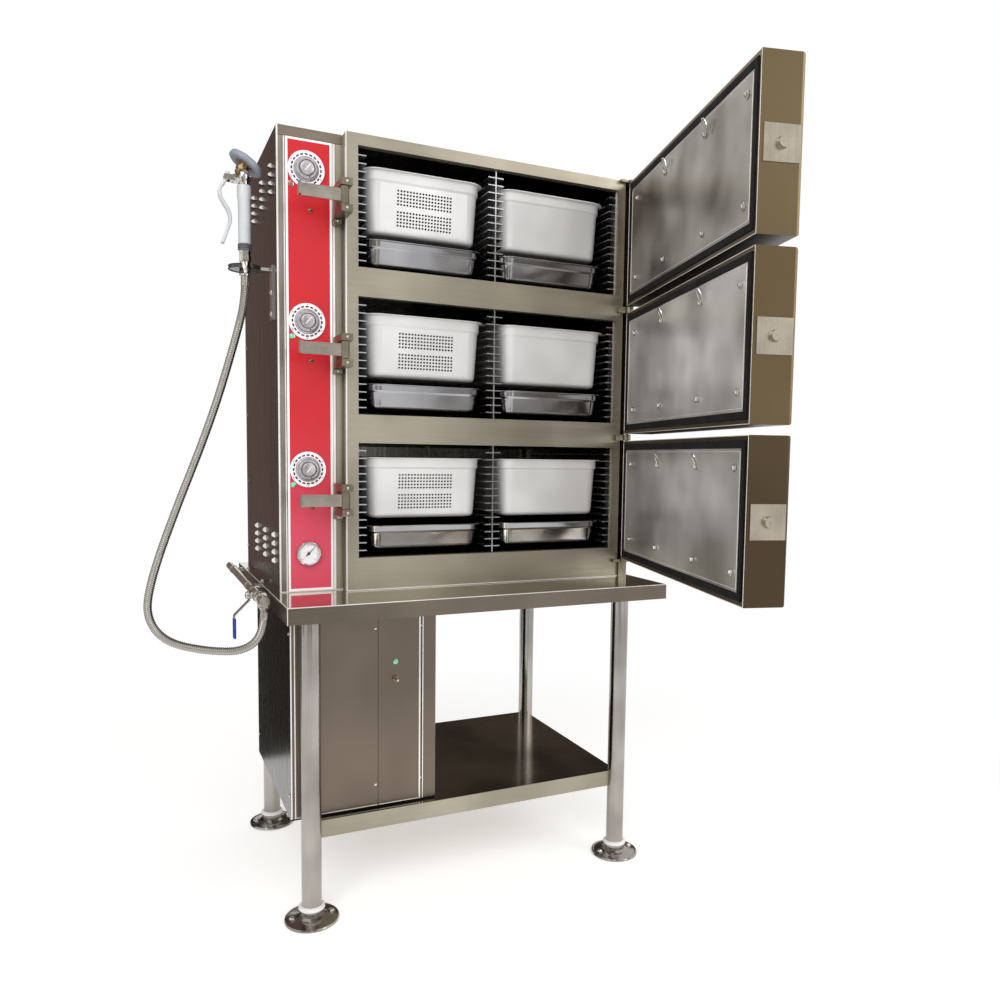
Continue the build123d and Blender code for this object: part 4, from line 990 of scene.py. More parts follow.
@dataclass
class BaseUnit:
    """Steam boiler's casing under the left half of the stand."""
    front_y: float = -273.5
    foot_z: float = 246.5
    head_z: float = 760.0
    seam_x: float = -259.0
    control_x: float = -214.0
    cover_x: float = -148.0      # screws at the control cover's right
    lamp_z: float = 612.0
    switch_z: float = 568.0

    def trims(self, low: Vector, high: Vector) -> None:
        """Add the corner strips, near white as painted highlights, and the fold beside them.

        Args:
            low: Casing's lowest corner.
            high: Its highest corner.
        """
        y, z0, z1 = self.front_y, self.foot_z, self.head_z
        upright = ((high.x - 45.0, high.x - 40.8), (high.x - 36.0, high.x - 33.0), (low.x, low.x + 3.4),
                   (low.x + 9.0, low.x + 12.0))
        strips = Form().blocks((((x0, y - 2.0, z0), (x1, y + 1.4, z1)) for x0, x1 in upright), 0.8)
        for x0, x1 in ((low.x + 13.0, self.seam_x - 1.4), (self.seam_x + 1.4, high.x - 46.0)):
            strips.block((x0, y - 1.6, z0 + 0.5), (x1, y + 0.4, z0 + 2.9), 0.6)
        strips.place("base_corner_trim", ROOT, TRIM_PAINTED_HIGHLIGHT, "tube_steel")
        fold = Form().block((high.x - 32.0, y + 0.2, z0), (high.x + 0.4, y + 1.4, z1), 0.5)
        fold.place("base_corner_fold", ROOT, COVER_SHEET, "brushed_front")

    def switch(self) -> None:
        """Add the toggle switch's nut and the bat end of its lever."""
        at = (self.control_x, self.front_y, self.switch_z)
        nut = [(3.6, 0.0), (8.6, 0.0), (8.6, 2.4), (6.4, 2.8), (6.4, 4.6), (3.6, 4.8)]
        turned("base_switch_collar", ROOT, WARM_CHROME, "tube_steel", nut, at, FRONT, 6)
        bat = [(1.4, 3.0), (2.0, 7.0), (3.4, 14.0), (3.8, 18.0), (3.0, 20.6), (1.2, 21.8)]
        turned("base_switch_bat", "base_switch", CHROME, "tube_steel", bat, at, FRONT, 16)

    def build(self) -> None:
        """Dress the casing and add its trims, screws, switch and lamp."""
        dress(["base_casing"], BASE_SIDE_PAINTED_SHADE)
        dress(["base_front_cover", "base_control_cover"], COVER_SHEET)
        dress(["boiler"], BOILER_STEEL)
        dress(["base_switch_lever"], CHROME)
        low, high = box_mm("base_casing")
        self.trims(low, high)
        screws = Form()
        for z in (300.0, 700.0):
            for x in (self.seam_x - 6.5, self.cover_x):
                Screw(3.4, 2.0).add(screws, (x, self.front_y, z), FRONT)
            for y in (low.y + 14.0, high.y - 14.0):
                Screw(4.2, 2.6).add(screws, (low.x, y, z), LEFT)
                Screw(4.2, 2.6).add(screws, (high.x, y, z), RIGHT)
        self.switch()
        screws.place("base_screws", ROOT, SCREW_STEEL, "tube_steel")
        pilot_lamp("base", (self.control_x, self.front_y, self.lamp_z), LENS_GREEN)


# ------------------------------------------------------------------ cabinet
@dataclass
class Cabinet:
    """Casing, face frame, compartments and racks."""
    rear_y: float = 289.0
    right_x: float = 419.0
    top_fold: float = 23.0       # the top's front edge, folded down over the column
    louvre_highlight_y: float = -0.3   # a louvre's flank that faces further forward than this gets the painted highlight

    def seams(self) -> None:
        """Add the folded edges, the groove beside the frame and the bead around the cabinet's foot, all near-white
        painted highlights.
        """
        z0, z1 = FOOT_Z, TOP_Z - self.top_fold
        edges = Form().blocks((((LEFT_X - 0.5, -266.6, z0), (LEFT_X + 3.6, -264.4, TOP_Z)),
                               ((-343.4, FRAME_Y, z0), (-340.6, -290.0, TOP_Z))), 0.5)
        edges.block((-478.5, -265.8, z0), (-476.0, -264.8, z1), 0.3)
        edges.block((-366.6, OVERLAY_Y, z0), (-360.6, -264.8, z1), 0.4)
        edges.place("front_folded_edges", ROOT, TRIM_PAINTED_HIGHLIGHT, "brushed_front")
        flap = Form().block((-358.6, -266.4, z0), (-345.0, -264.8, z1), 0.5)
        flap.place("fascia_side_flap", ROOT, FRAME_SHEET, "brushed_front")
        bead = Form().blocks((((LEFT_X + 1.0, -268.0, z0), (-343.0, -264.5, z0 + 2.6)),
                              ((-342.0, -301.0, z0), (self.right_x, -297.5, z0 + 2.8))), 0.9)
        bead.place("foot_seal_bead", ROOT, TRIM_PAINTED_HIGHLIGHT, "brushed_front")
        # hinge-side filler strip in the side sheets' nearly black painted shade
        filler = Form().block((self.right_x - 1.0, -295.4, z0 + 3.0), (self.right_x + 14.5, -293.8, TOP_Z), 0.4)
        filler.place("hinge_side_filler", ROOT, SIDE_PAINTED_SHADE, "brushed_front")

    def baffles(self) -> None:
        """Add the steam baffle at the rear of every compartment, pale as a painted reflection of light, with its two
        folded seams.
        """
        low, high = box_mm("compartment_liners")
        form = Form()
        for i in range(len(LEVELS)):
            z0, z1 = low.z + PITCH_Z * i + 4.0, low.z + PITCH_Z * i + OPENING_Z - 2.0
            form.block((low.x + 4.0, high.y - 3.6, z0), (high.x - 4.0, high.y - 2.2, z1), 0.4)
            for share in (0.26, 0.69):
                x = low.x + share * (high.x - low.x)
                form.block((x - 4.0, high.y - 5.4, z0), (x + 4.0, high.y - 3.4, z1), 0.6)
        form.place("rear_baffles", ROOT, BAFFLE_PAINTED_REFLECTION, "liner_steel")

    def louvres(self) -> None:
        """Paint the louvres' outer faces: a near-white painted highlight on the flanks that face forward, near-black
        painted shade on the rest.
        """
        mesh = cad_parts["cabinet_left_panel"].data
        # near-black painted shade and near-white painted highlight for the louvres' outer faces
        for finish in (MODULE_BLACK, LOUVRE_PAINTED_HIGHLIGHT):
            mesh.materials.append(finish.material())
        for face in mesh.polygons:
            if face.center.x / MM < LEFT_X - 0.4:
                face.material_index = len(mesh.materials) - (1 if face.normal.y < self.louvre_highlight_y else 2)

    def fasteners(self, rows: int = 6, first_z: float = 860.0, pitch: float = 190.0) -> None:
        """Add the rows of screws that hold the side and rear sheets.

        Args:
            rows: Number of rows.
            first_z: Height of the lowest.
            pitch: Distance from row to row.
        """
        screws = Form()
        for k in range(rows):
            z = first_z + pitch * k
            for x in (LEFT_X + 16.0, -40.0, self.right_x - 16.0):
                Screw(4.2, 2.6).add(screws, (x, self.rear_y, z), BACK)
            Screw(4.2, 2.6).add(screws, (LEFT_X, self.rear_y - 14.0, z), LEFT)
        screws.place("casing_screws", ROOT, SCREW_STEEL, "brushed_dark")

    def build(self) -> None:
        """Dress the cabinet's sheets and racks, and add its small pieces."""
        dress(["front_frame"], FRAME_SHEET)
        dress(["cabinet_casing"], CASING_SHEET)
        dress_part("cabinet_casing", FOLD_SHEET, lambda p: p.y < FASCIA_Y - 0.2)
        dress(["cabinet_left_panel"], SIDE_PAINTED_SHADE)
        self.louvres()
        dress(["compartment_liners"], CHAMBER_PAINTED_SHADE)
        dress(["side_racks", "centre_racks"], RACK_STEEL)
        dress(["control_modules"], MODULE_BLACK)
        self.seams()
        self.baffles()
        self.fasteners()


@dataclass
class GastronormPan:
    """Deep-drawn pan: flat flange, stacking shoulder, tapered walls and a rounded floor."""
    node: str
    finish: Finish = PAN_STEEL
    perforated: bool = False
    sheet: float = 1.2
    flange: float = 12.5
    corner: float = 50.0
    band: float = 22.0           # depth of the stacking shoulder
    step: float = 4.0
    taper: float = 8.0
    bend: float = 12.4
    columns: int = 18            # holes of one block, and rows
    rows: int = 5
    pitch: float = 8.0
    hole: float = 2.9
    block_gap: float = 18.0
    turns: int = 6
    wall: int = 7                # ring of sections() where the flat wall starts

    def sections(self, height: float) -> list[tuple[float, float]]:
        """Return inset and depth pairs of the inside, from the flange's edge to the floor.

        Args:
            height: Height of the pan.

        Returns:
            The pairs, in millimetres.
        """
        mouth, bottom = self.flange, height - self.sheet
        neck = mouth + self.step
        lean = self.taper / (bottom - self.band - self.step)
        start = bottom - self.bend
        low = neck + lean * (start - self.band - self.step)
        arc = [(low + self.bend * (1 - math.cos(a)), start + self.bend * math.sin(a))
               for a in (math.radians(22.5 * k) for k in range(5))]
        return [(1.2, 0.0), (mouth - 3.0, 0.0), (mouth - 0.8, 0.6), (mouth, 2.6), (mouth, self.band - 1.4),
                (mouth + 0.8, self.band + 0.6), (neck - 0.8, self.band + self.step - 0.8),
                (neck, self.band + self.step + 1.0), *arc]

    def rings(self, half: Vector, height: float, grow: float) -> list[Ring]:
        """Return the rings of one face of the sheet.

        Args:
            half: Half the pan's length and width.
            height: Height of the pan.
            grow: How far this face lies outside the inner one.

        Returns:
            Rings from the flange's edge to the floor.
        """
        made = []
        for inset, depth in self.sections(height):
            out = 0.0 if inset < 2.0 else grow
            r = max(8.0, self.corner - inset)
            made.append(rounded(half.x - inset + out, half.y - inset + out, r + out, -depth - grow, self.turns))
        return made

    def holes(self, form: Form, corners: Sequence[Vector], inward: Vector) -> None:
        """Fill one flat wall with two blocks of round holes.

        Args:
            form: Form that gets the wall.
            corners: Outer corners, low left, low right, high right and high left.
            inward: From the outer face of the sheet to the inner one.
        """
        a, b, c, d = corners
        width, height = (b - a).length, (d - a).length
        block_w, block_h = (self.columns - 1) * self.pitch, (self.rows - 1) * self.pitch
        left = (width - block_w - self.pitch) / 2
        base = (height - 2 * block_h - self.block_gap - 2 - self.pitch) / 2
        us = [0.0, *(left + k * self.pitch for k in range(self.columns + 1)), width]
        vs = [0.0, *(base + k * self.pitch for k in range(self.rows + 1)),
              *(base + block_h + self.block_gap + k * self.pitch for k in range(self.rows + 1)), height]

        def at(u: float, v: float, deep: float) -> Vector:
            """Return the point at a width and height on the wall, at a share of its thickness."""
            low, high = a.lerp(b, u / width), d.lerp(c, u / width)
            return low.lerp(high, v / height) + inward * deep

        pierced = {*range(1, self.rows + 1), *range(self.rows + 2, 2 * self.rows + 2)}
        for i in range(len(us) - 1):
            for j in range(len(vs) - 1):
                u0, u1, v0, v1 = us[i], us[i + 1], vs[j], vs[j + 1]
                if not (0 < i < len(us) - 2 and j in pierced):
                    for deep, turn in ((0.0, 1), (1.0, -1)):
                        first = len(form.verts)
                        form.verts += [at(u0, v0, deep), at(u1, v0, deep), at(u1, v1, deep), at(u0, v1, deep)]
                        form.faces.append(tuple(range(first, first + 4))[::turn])
                    continue
                um, vm = (u0 + u1) / 2, (v0 + v1) / 2
                rim = [(u0, v0), (um, v0), (u1, v0), (u1, vm), (u1, v1), (um, v1), (u0, v1), (u0, vm)]
                disc = [(um + self.hole * math.cos(t), vm + self.hole * math.sin(t))
                        for t in (math.radians(225 + 45 * k) for k in range(8))]
                form.skin([[at(*p, deep) for p in ring]
                           for ring, deep in ((rim, 0.0), (disc, 0.0), (disc, 1.0), (rim, 1.0))], (False, False))

    def build(self) -> None:
        """Make the pan in the place of its solid."""
        low, high = box_mm(self.node)
        centre, half = (low + high) / 2, (high - low) / 2
        height = high.z - low.z
        inner, outer = self.rings(half, height, 0.0), self.rings(half, height, self.sheet)
        count, wall = len(inner[0]), self.wall
        sides = {self.turns, 3 * self.turns + 2} if self.perforated else set()
        form = Form().skin([*reversed(outer), inner[0]], (True, False),
                           lambda ring, side: side in sides and ring == len(outer) - 2 - wall)
        for side in sides:
            nxt = (side + 1) % count
            corners = [outer[wall + 1][side], outer[wall + 1][nxt], outer[wall][nxt], outer[wall][side]]
            self.holes(form, corners, inner[wall][side] - outer[wall][side])
        # faces from here on are the pan's inside, in near-black painted shade
        inside = len(form.faces)
        form.skin(inner, (False, True), lambda ring, side: side in sides and ring == wall)
        form.moved(Matrix.Translation((centre.x, centre.y, high.z)))
        form.place(f"pressed_{self.node}", f"{self.node}_slide", self.finish, "pan_steel", 50.0, [self.node],
                   (inside, PAN_INSIDE_PAINTED_SHADE))


# ------------------------------------------------------------------ doors and latches
@dataclass
class Door:
    """Insulated door, standing open, with its mirror liner, seal, studs and hooks."""
    level: str
    hinge: tuple[float, float] = (433.0, -310.0)
    swing: float = 75.0
    free_x: float = -338.0       # of the shut door, as the four that follow
    hinge_x: float = 428.0
    liner_y: float = -300.0
    edge_y: float = -345.0
    margin: float = 30.0         # from the shell's edge to the liner's
    columns: Sequence[float] = (52.0, 249.0, 486.0, 689.0)
    row: float = 101.0

    def swung(self) -> Matrix:
        """Return the turn from the shut door to where it stands open."""
        x, y = self.hinge
        return (Matrix.Translation((x, y, 0)) @ Matrix.Rotation(math.radians(self.swing), 4, "Z")
                @ Matrix.Translation((-x, -y, 0)))

    def span(self) -> tuple[float, float]:
        """Return the height of the door's middle, and half its height."""
        low, high = box_mm(f"door_shell_{self.level}")
        return (low.z + high.z) / 2, (high.z - low.z) / 2

    def studs(self) -> Form:
        """Acorn nuts over washers in two rows on the liner."""
        form, (z, _) = Form(), self.span()
        for along in self.columns:
            for side in (-1, 1):
                at = (self.free_x + along, self.liner_y + 1.0, z + side * self.row)
                Screw(4.6, 6.0, 8.0, 6).add(form, at, BACK)
        return form

    def hooks(self) -> Form:
        """Bent wire hooks beside the two middle nuts of the upper row."""
        form, (middle, _) = Form(), self.span()
        bends = ((0, 0, 4), (0, 3, 12), (-4, 8, 21), (-12, 11, 26), (-20, 10, 24), (-24, 7, 16), (-24, 4, 2),
                 (-24, 2, -8))
        for along in self.columns[1:3]:
            at = Vector((self.free_x + along, self.liner_y + 3.0, middle + self.row))
            form.tube([at + Vector(bend) for bend in bends], lambda _: 1.7, 8)
        return form

    def edges(self) -> Form:
        """Folded edges round the shell's mouth and round the liner, near white as painted highlights."""
        form, (z, half) = Form(), self.span()
        for inset, y, wide in ((0.0, self.liner_y - 1.6, 1.6), (self.margin, self.liner_y - 0.2, 1.4)):
            x0, x1, z0, z1 = self.free_x + inset, self.hinge_x - inset, z - half + inset, z + half - inset
            form.blocks((((x0, y, z1 - wide), (x1, y + 0.9, z1)), ((x0, y, z0), (x1, y + 0.9, z0 + wide)),
                         ((x0, y, z0 + wide), (x0 + wide, y + 0.9, z1 - wide)),
                         ((x1 - wide, y, z0 + wide), (x1, y + 0.9, z1 - wide))), 0.3)
        return form

    def button(self) -> Form:
        """Domed cap over the strike button, small enough for the latch's slot."""
        profile = [(11.6, -0.2), (11.5, 1.2), (10.6, 2.8), (10.1, 5.4), (9.4, 7.6), (7.4, 8.6), (2.6, 9.0)]
        return Form().lathe(profile, (self.free_x - 2.0, self.edge_y, self.span()[0]), LEFT, 28)

    def on_strike(self, point: Vector) -> bool:
        """Tell whether a point of the open door's shell lies on its strike plate."""
        shut = self.swung().inverted() @ point
        return (shut.x < self.free_x - 0.6 and abs(shut.y - self.edge_y) < 36.5
                and abs(shut.z - self.span()[0]) < 35.0)

    def build(self) -> None:
        """Dress the door and add its small pieces, swung with it."""
        level, body = self.level, f"door_{self.level}"
        dress([f"door_shell_{level}"], DOOR_SKINS_PAINTED_REFLECTION[level])
        dress([f"door_liner_{level}"], DOOR_LINERS_PAINTED_REFLECTION[level])
        dress([f"door_gasket_{level}"], SILICONE)
        dress_part(f"door_shell_{level}", STRIKE_SHEET, self.on_strike)
        for name, form, finish, slot in (("door_studs", self.studs(), SCREW_STEEL, "door_inner"),
                                         ("door_hooks", self.hooks(), CHROME, "door_inner"),
                                         ("door_edge_highlights", self.edges(), TRIM_PAINTED_HIGHLIGHT, "door_inner"),
                                         ("strike_button", self.button(), STRIKE_SHEET, "brushed_front")):
            form.moved(self.swung()).place(f"{name}_{level}", body, finish, slot)


@dataclass
class Latch:
    """Latch bracket beside the frame with its pull handle."""
    level: str
    lift: float = 4.0            # bracket's middle over the opening's
    pin: tuple[float, float] = (-358.0, -351.0)

    def build(self, mid: float) -> None:
        """Dress the handle and add the bracket's bolts, its clip, the handle's housing and its stop.

        Args:
            mid: Height of the opening's middle.
        """
        level, z = self.level, mid + self.lift
        dress([f"latch_handle_{level}"], HANDLE_STEEL)
        bolts = Form()
        for dz in (-29.0, 29.0):
            Screw(3.2, 1.6, 0.0, 6).add(bolts, (-355.0, -362.0, z + dz), FRONT)
        Screw(3.0, 2.0, 0.0, 6).add(bolts, (-360.5, -293.0, z - 43.0), FRONT)
        bolts.place(f"latch_bolts_{level}", ROOT, SCREW_STEEL, "cast_latch")
        clip = Form().block((-367.0, -293.0, z - 49.0), (-350.0, -265.2, z - 37.2), 1.0)
        clip.place(f"latch_clip_{level}", ROOT, CAST_STEEL, "cast_latch")
        hub = Form().skin([octagon(-8.6, 8.6, -8.8, 8.6, 3.2, dz) for dz in (-19.2, 19.2)])
        hub.moved(Matrix.Translation((*self.pin, z)))
        hub.place(f"latch_hub_{level}", f"handle_{level}", CAST_STEEL, "cast_latch")
        stop = [(5.0, 0.0), (5.0, 2.0), (3.2, 3.4), (1.2, 3.6)]
        turned(f"handle_stop_{level}", ROOT, WARM_CHROME, "cast_latch", stop, (-418.0, OVERLAY_Y, z - 21.0), FRONT, 16)


# ------------------------------------------------------------------ controls
def pilot_lamp(word: str, at: Point, lens: Finish) -> None:
    """Make the moulded lens over a pilot lamp's solid."""
    dome = [(5.6, 1.9), (5.2, 3.6), (3.9, 5.2), (2.0, 6.1), (0.5, 6.4)]
    turned(f"lamp_lens_{word}", ROOT, lens, "lamp", dome, at, FRONT, 20)


def radial_bars(at: Vector, count: int, first: float, pitch: float,
                bar: Callable[[int], tuple[Point, Point]], edge: float) -> Form:
    """Blocks that stand round an axis, as the marks of a scale.

    Args:
        at: Scale's centre.
        count: Number of marks.
        first: Angle of the first mark from the top, in radians.
        pitch: Angle from mark to mark.
        bar: Gives the corners of a mark at the top by its number.
        edge: Chamfer of a mark.

    Returns:
        The marks.
    """
    form = Form()
    for k in range(count):
        turn = Matrix.Translation(at) @ Matrix.Rotation(first + pitch * k, 4, "Y")
        form.join(Form().block(*bar(k), edge).moved(turn))
    return form


@dataclass
class TimerDial:
    """Clockwork timer's dial: white scale ring, turned skirt and a slotted cap."""
    level: str
    back_y: float = -267.0
    ring_r: float = 42.0
    skirt_r: float = 26.5
    cap_r: float = 16.0
    dashes: int = 20
    minutes: int = 60
    number_r: float = 39.0
    number_h: float = 5.2
    slot_turn: float = 40.0      # degrees, as the photograph's slots stand

    def numbers(self, at: Vector) -> None:
        """Print every tenth minute round the ring.

        Args:
            at: Where the dial's axis meets its back.
        """
        for k in range(self.minutes // 10):
            a = 2 * math.pi * k * 10 / self.minutes
            text = bpy.data.curves.new(f"dial_{self.level}_minutes_{k}", "FONT")
            text.body, text.size, text.align_x, text.align_y = str(k * 10), self.number_h * MM, "CENTER", "CENTER"
            text.extrude = 0.05 * MM
            text.materials.append(INK_BLACK.material())
            made = bpy.data.objects.new(text.name, text)
            spot = at + Vector((self.number_r * math.sin(a), -3.2, self.number_r * math.cos(a)))
            made.matrix_world = (Matrix.Translation(spot * MM) @ Matrix.Rotation(a, 4, "Y")
                                 @ Matrix.Rotation(math.pi / 2, 4, "X"))
            bpy.context.scene.collection.objects.link(made)
            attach(made, f"timer_{self.level}")

    def build(self) -> None:
        """Make the dial's turned pieces and its print."""
        low, high = box_mm(f"timer_knob_{self.level}")
        at = Vector((DIAL_X, self.back_y, (low.z + high.z) / 2))
        body, level, ring, skirt, cap = f"timer_{self.level}", self.level, self.ring_r, self.skirt_r, self.cap_r
        plate = [(skirt, 0.2), (ring - 0.6, 0.2), (ring, 0.8), (ring, 2.4), (ring - 0.8, 3.1), (skirt, 3.1)]
        turned(f"dial_ring_{level}", body, DIAL_WHITE, "dial", plate, at, FRONT, 64, False, 40.0,
               [f"timer_knob_{level}"])
        rim = [(ring - 1.0, 3.0), (ring + 0.1, 2.2), (ring + 0.1, 3.3), (ring - 0.7, 3.7), (ring - 1.6, 3.3)]
        turned(f"dial_edge_{level}", body, DIAL_WHITE, "dial", rim, at, FRONT, 64, True)
        cone = [(skirt + 1.4, 2.6), (skirt + 1.0, 4.0), (skirt - 1.2, 5.6), (skirt - 3.0, 13.6), (skirt - 4.6, 15.0),
                (cap + 1.2, 15.2), (cap + 0.6, 13.6), (cap + 0.2, 13.6)]
        turned(f"dial_skirt_{level}", body, KNOB_METAL, "dial", cone, at, FRONT, 56)
        crown = [(cap, 12.0), (cap, 16.4), (cap - 1.0, 17.4), (cap - 2.0, 17.8), (4.0, 18.0)]
        turned(f"dial_cap_{level}", body, KNOB_METAL, "dial", crown, at, FRONT, 44)
        mark = Form().block((-1.0, -18.6, -10.0), (1.0, -17.9, 12.0), 0.2)
        mark.moved(Matrix.Translation(at) @ Matrix.Rotation(math.radians(self.slot_turn), 4, "Y"))
        mark.place(f"dial_mark_{level}", body, DIAL_WHITE, "dial")
        turned(f"dial_dot_{level}", body, INK_BLACK, "dial", [(1.6, 0.0), (1.6, 0.5), (1.0, 0.6)],
               at + Vector((5.0, -14.9, -20.0)), FRONT, 12)
        # black rings at the skirt's foot and between skirt and cap: painted shade in these grooves
        lines = Form()
        lines.lathe([(28.2, 0.0), (29.0, 0.0), (29.0, 0.35), (28.2, 0.35)], at + Vector((0, -3.1, 0)), FRONT, 48, True)
        rim = [(17.4, 12.4), (18.4, 12.4), (18.4, 12.6), (17.4, 12.6)]
        lines.lathe(rim, at + Vector((0, -3.0, 0)), FRONT, 48, True)
        lines.place(f"dial_groove_shade_{level}", body, INK_BLACK, "dial")
        scale = radial_bars(at, self.dashes, 0.0, 2 * math.pi / self.dashes,
                            lambda _: ((-3.5, -3.5, 32.0), (3.5, -3.1, 35.6)), 0.1)
        scale.place(f"dial_scale_{level}", body, INK_BLACK, "dial")
        self.numbers(at)


@dataclass
class ControlColumn:
    """Red control column with its print, lamps, dials and pressure gauge."""
    overlay: tuple[float, float, float, float] = (-474.0, -368.0, 804.0, 1852.0)
    gauge_z: float = 893.0
    lamp_x: float = -462.0
    lamp_lift: float = 38.0      # over the opening's middle
    border: float = 5.0
    ticks: int = 31
    sweep: float = 270.0

    def gauge(self) -> None:
        """Dial face of the pressure gauge with its ticks, bezel and hub."""
        at = Vector((DIAL_X, box_mm("gauge_needle")[0].y + 2.5, self.gauge_z))
        turned("gauge_face", ROOT, DIAL_WHITE, "gauge_metal", [(25.2, -0.3), (25.2, 0.25), (1.0, 0.3)], at, FRONT, 48)
        pitch = math.radians(self.sweep / (self.ticks - 1))
        ticks = radial_bars(at, self.ticks, math.radians(-self.sweep / 2), pitch,
                            lambda k: ((-0.45, -0.6, 20.6 if k % 5 else 18.2), (0.45, -0.25, 23.4)), 0.05)
        ticks.place("gauge_ticks", ROOT, INK_BLACK, "gauge_metal")
        bezel = [(25.3, -1.6), (25.6, 0.6), (26.8, 1.6), (28.2, 1.0), (29.0, -0.6), (29.0, -4.0), (28.0, -6.0),
                 (25.4, -5.0)]
        turned("gauge_bezel", ROOT, CHROME, "gauge_metal", bezel, (DIAL_X, box_mm("gauge_case")[0].y, self.gauge_z),
               FRONT, 56, True)
        turned("gauge_hub", "gauge_pointer", NEEDLE_PAINT, "needle", [(3.6, 0.0), (3.4, 0.7), (1.6, 1.2)],
               at + Vector((0, -1.7, 0)), FRONT, 24)

    def build(self, mids: dict[str, float]) -> None:
        """Dress the column and add its pieces.

        Args:
            mids: Height of each opening's middle.
        """
        for nodes, finish in ((("control_fascia",), COLUMN_SHEET), (("control_overlay",), OVERLAY_RED),
                              (("gauge_case", "indicator_lamps"), CHROME), (("gauge_needle",), NEEDLE_PAINT),
                              (("gauge_lens",), WINDOW), (("latch_brackets", "hinge_plates"), CAST_STEEL)):
            dress(nodes, finish)
        x0, x1, z0, z1 = self.overlay
        y, wide = OVERLAY_Y - 0.35, self.border
        Form().blocks((((x0, y, z0), (x0 + wide, OVERLAY_Y, z1)), ((x1 - wide, y, z0), (x1, OVERLAY_Y, z1)),
                       ((x0 + wide, y, z0), (x1 - wide, OVERLAY_Y, z0 + wide)),
                       ((x0 + wide, y, z1 - wide), (x1 - wide, OVERLAY_Y, z1))), 0.1).place(
            "overlay_border", ROOT, OVERLAY_WHITE, "overlay_red")
        self.gauge()
        for level in LEVELS:
            lens = LENS_AMBER if level == "top" else LENS_GREEN
            pilot_lamp(level, (self.lamp_x, OVERLAY_Y, mids[level] + self.lamp_lift), lens)
            TimerDial(level).build()


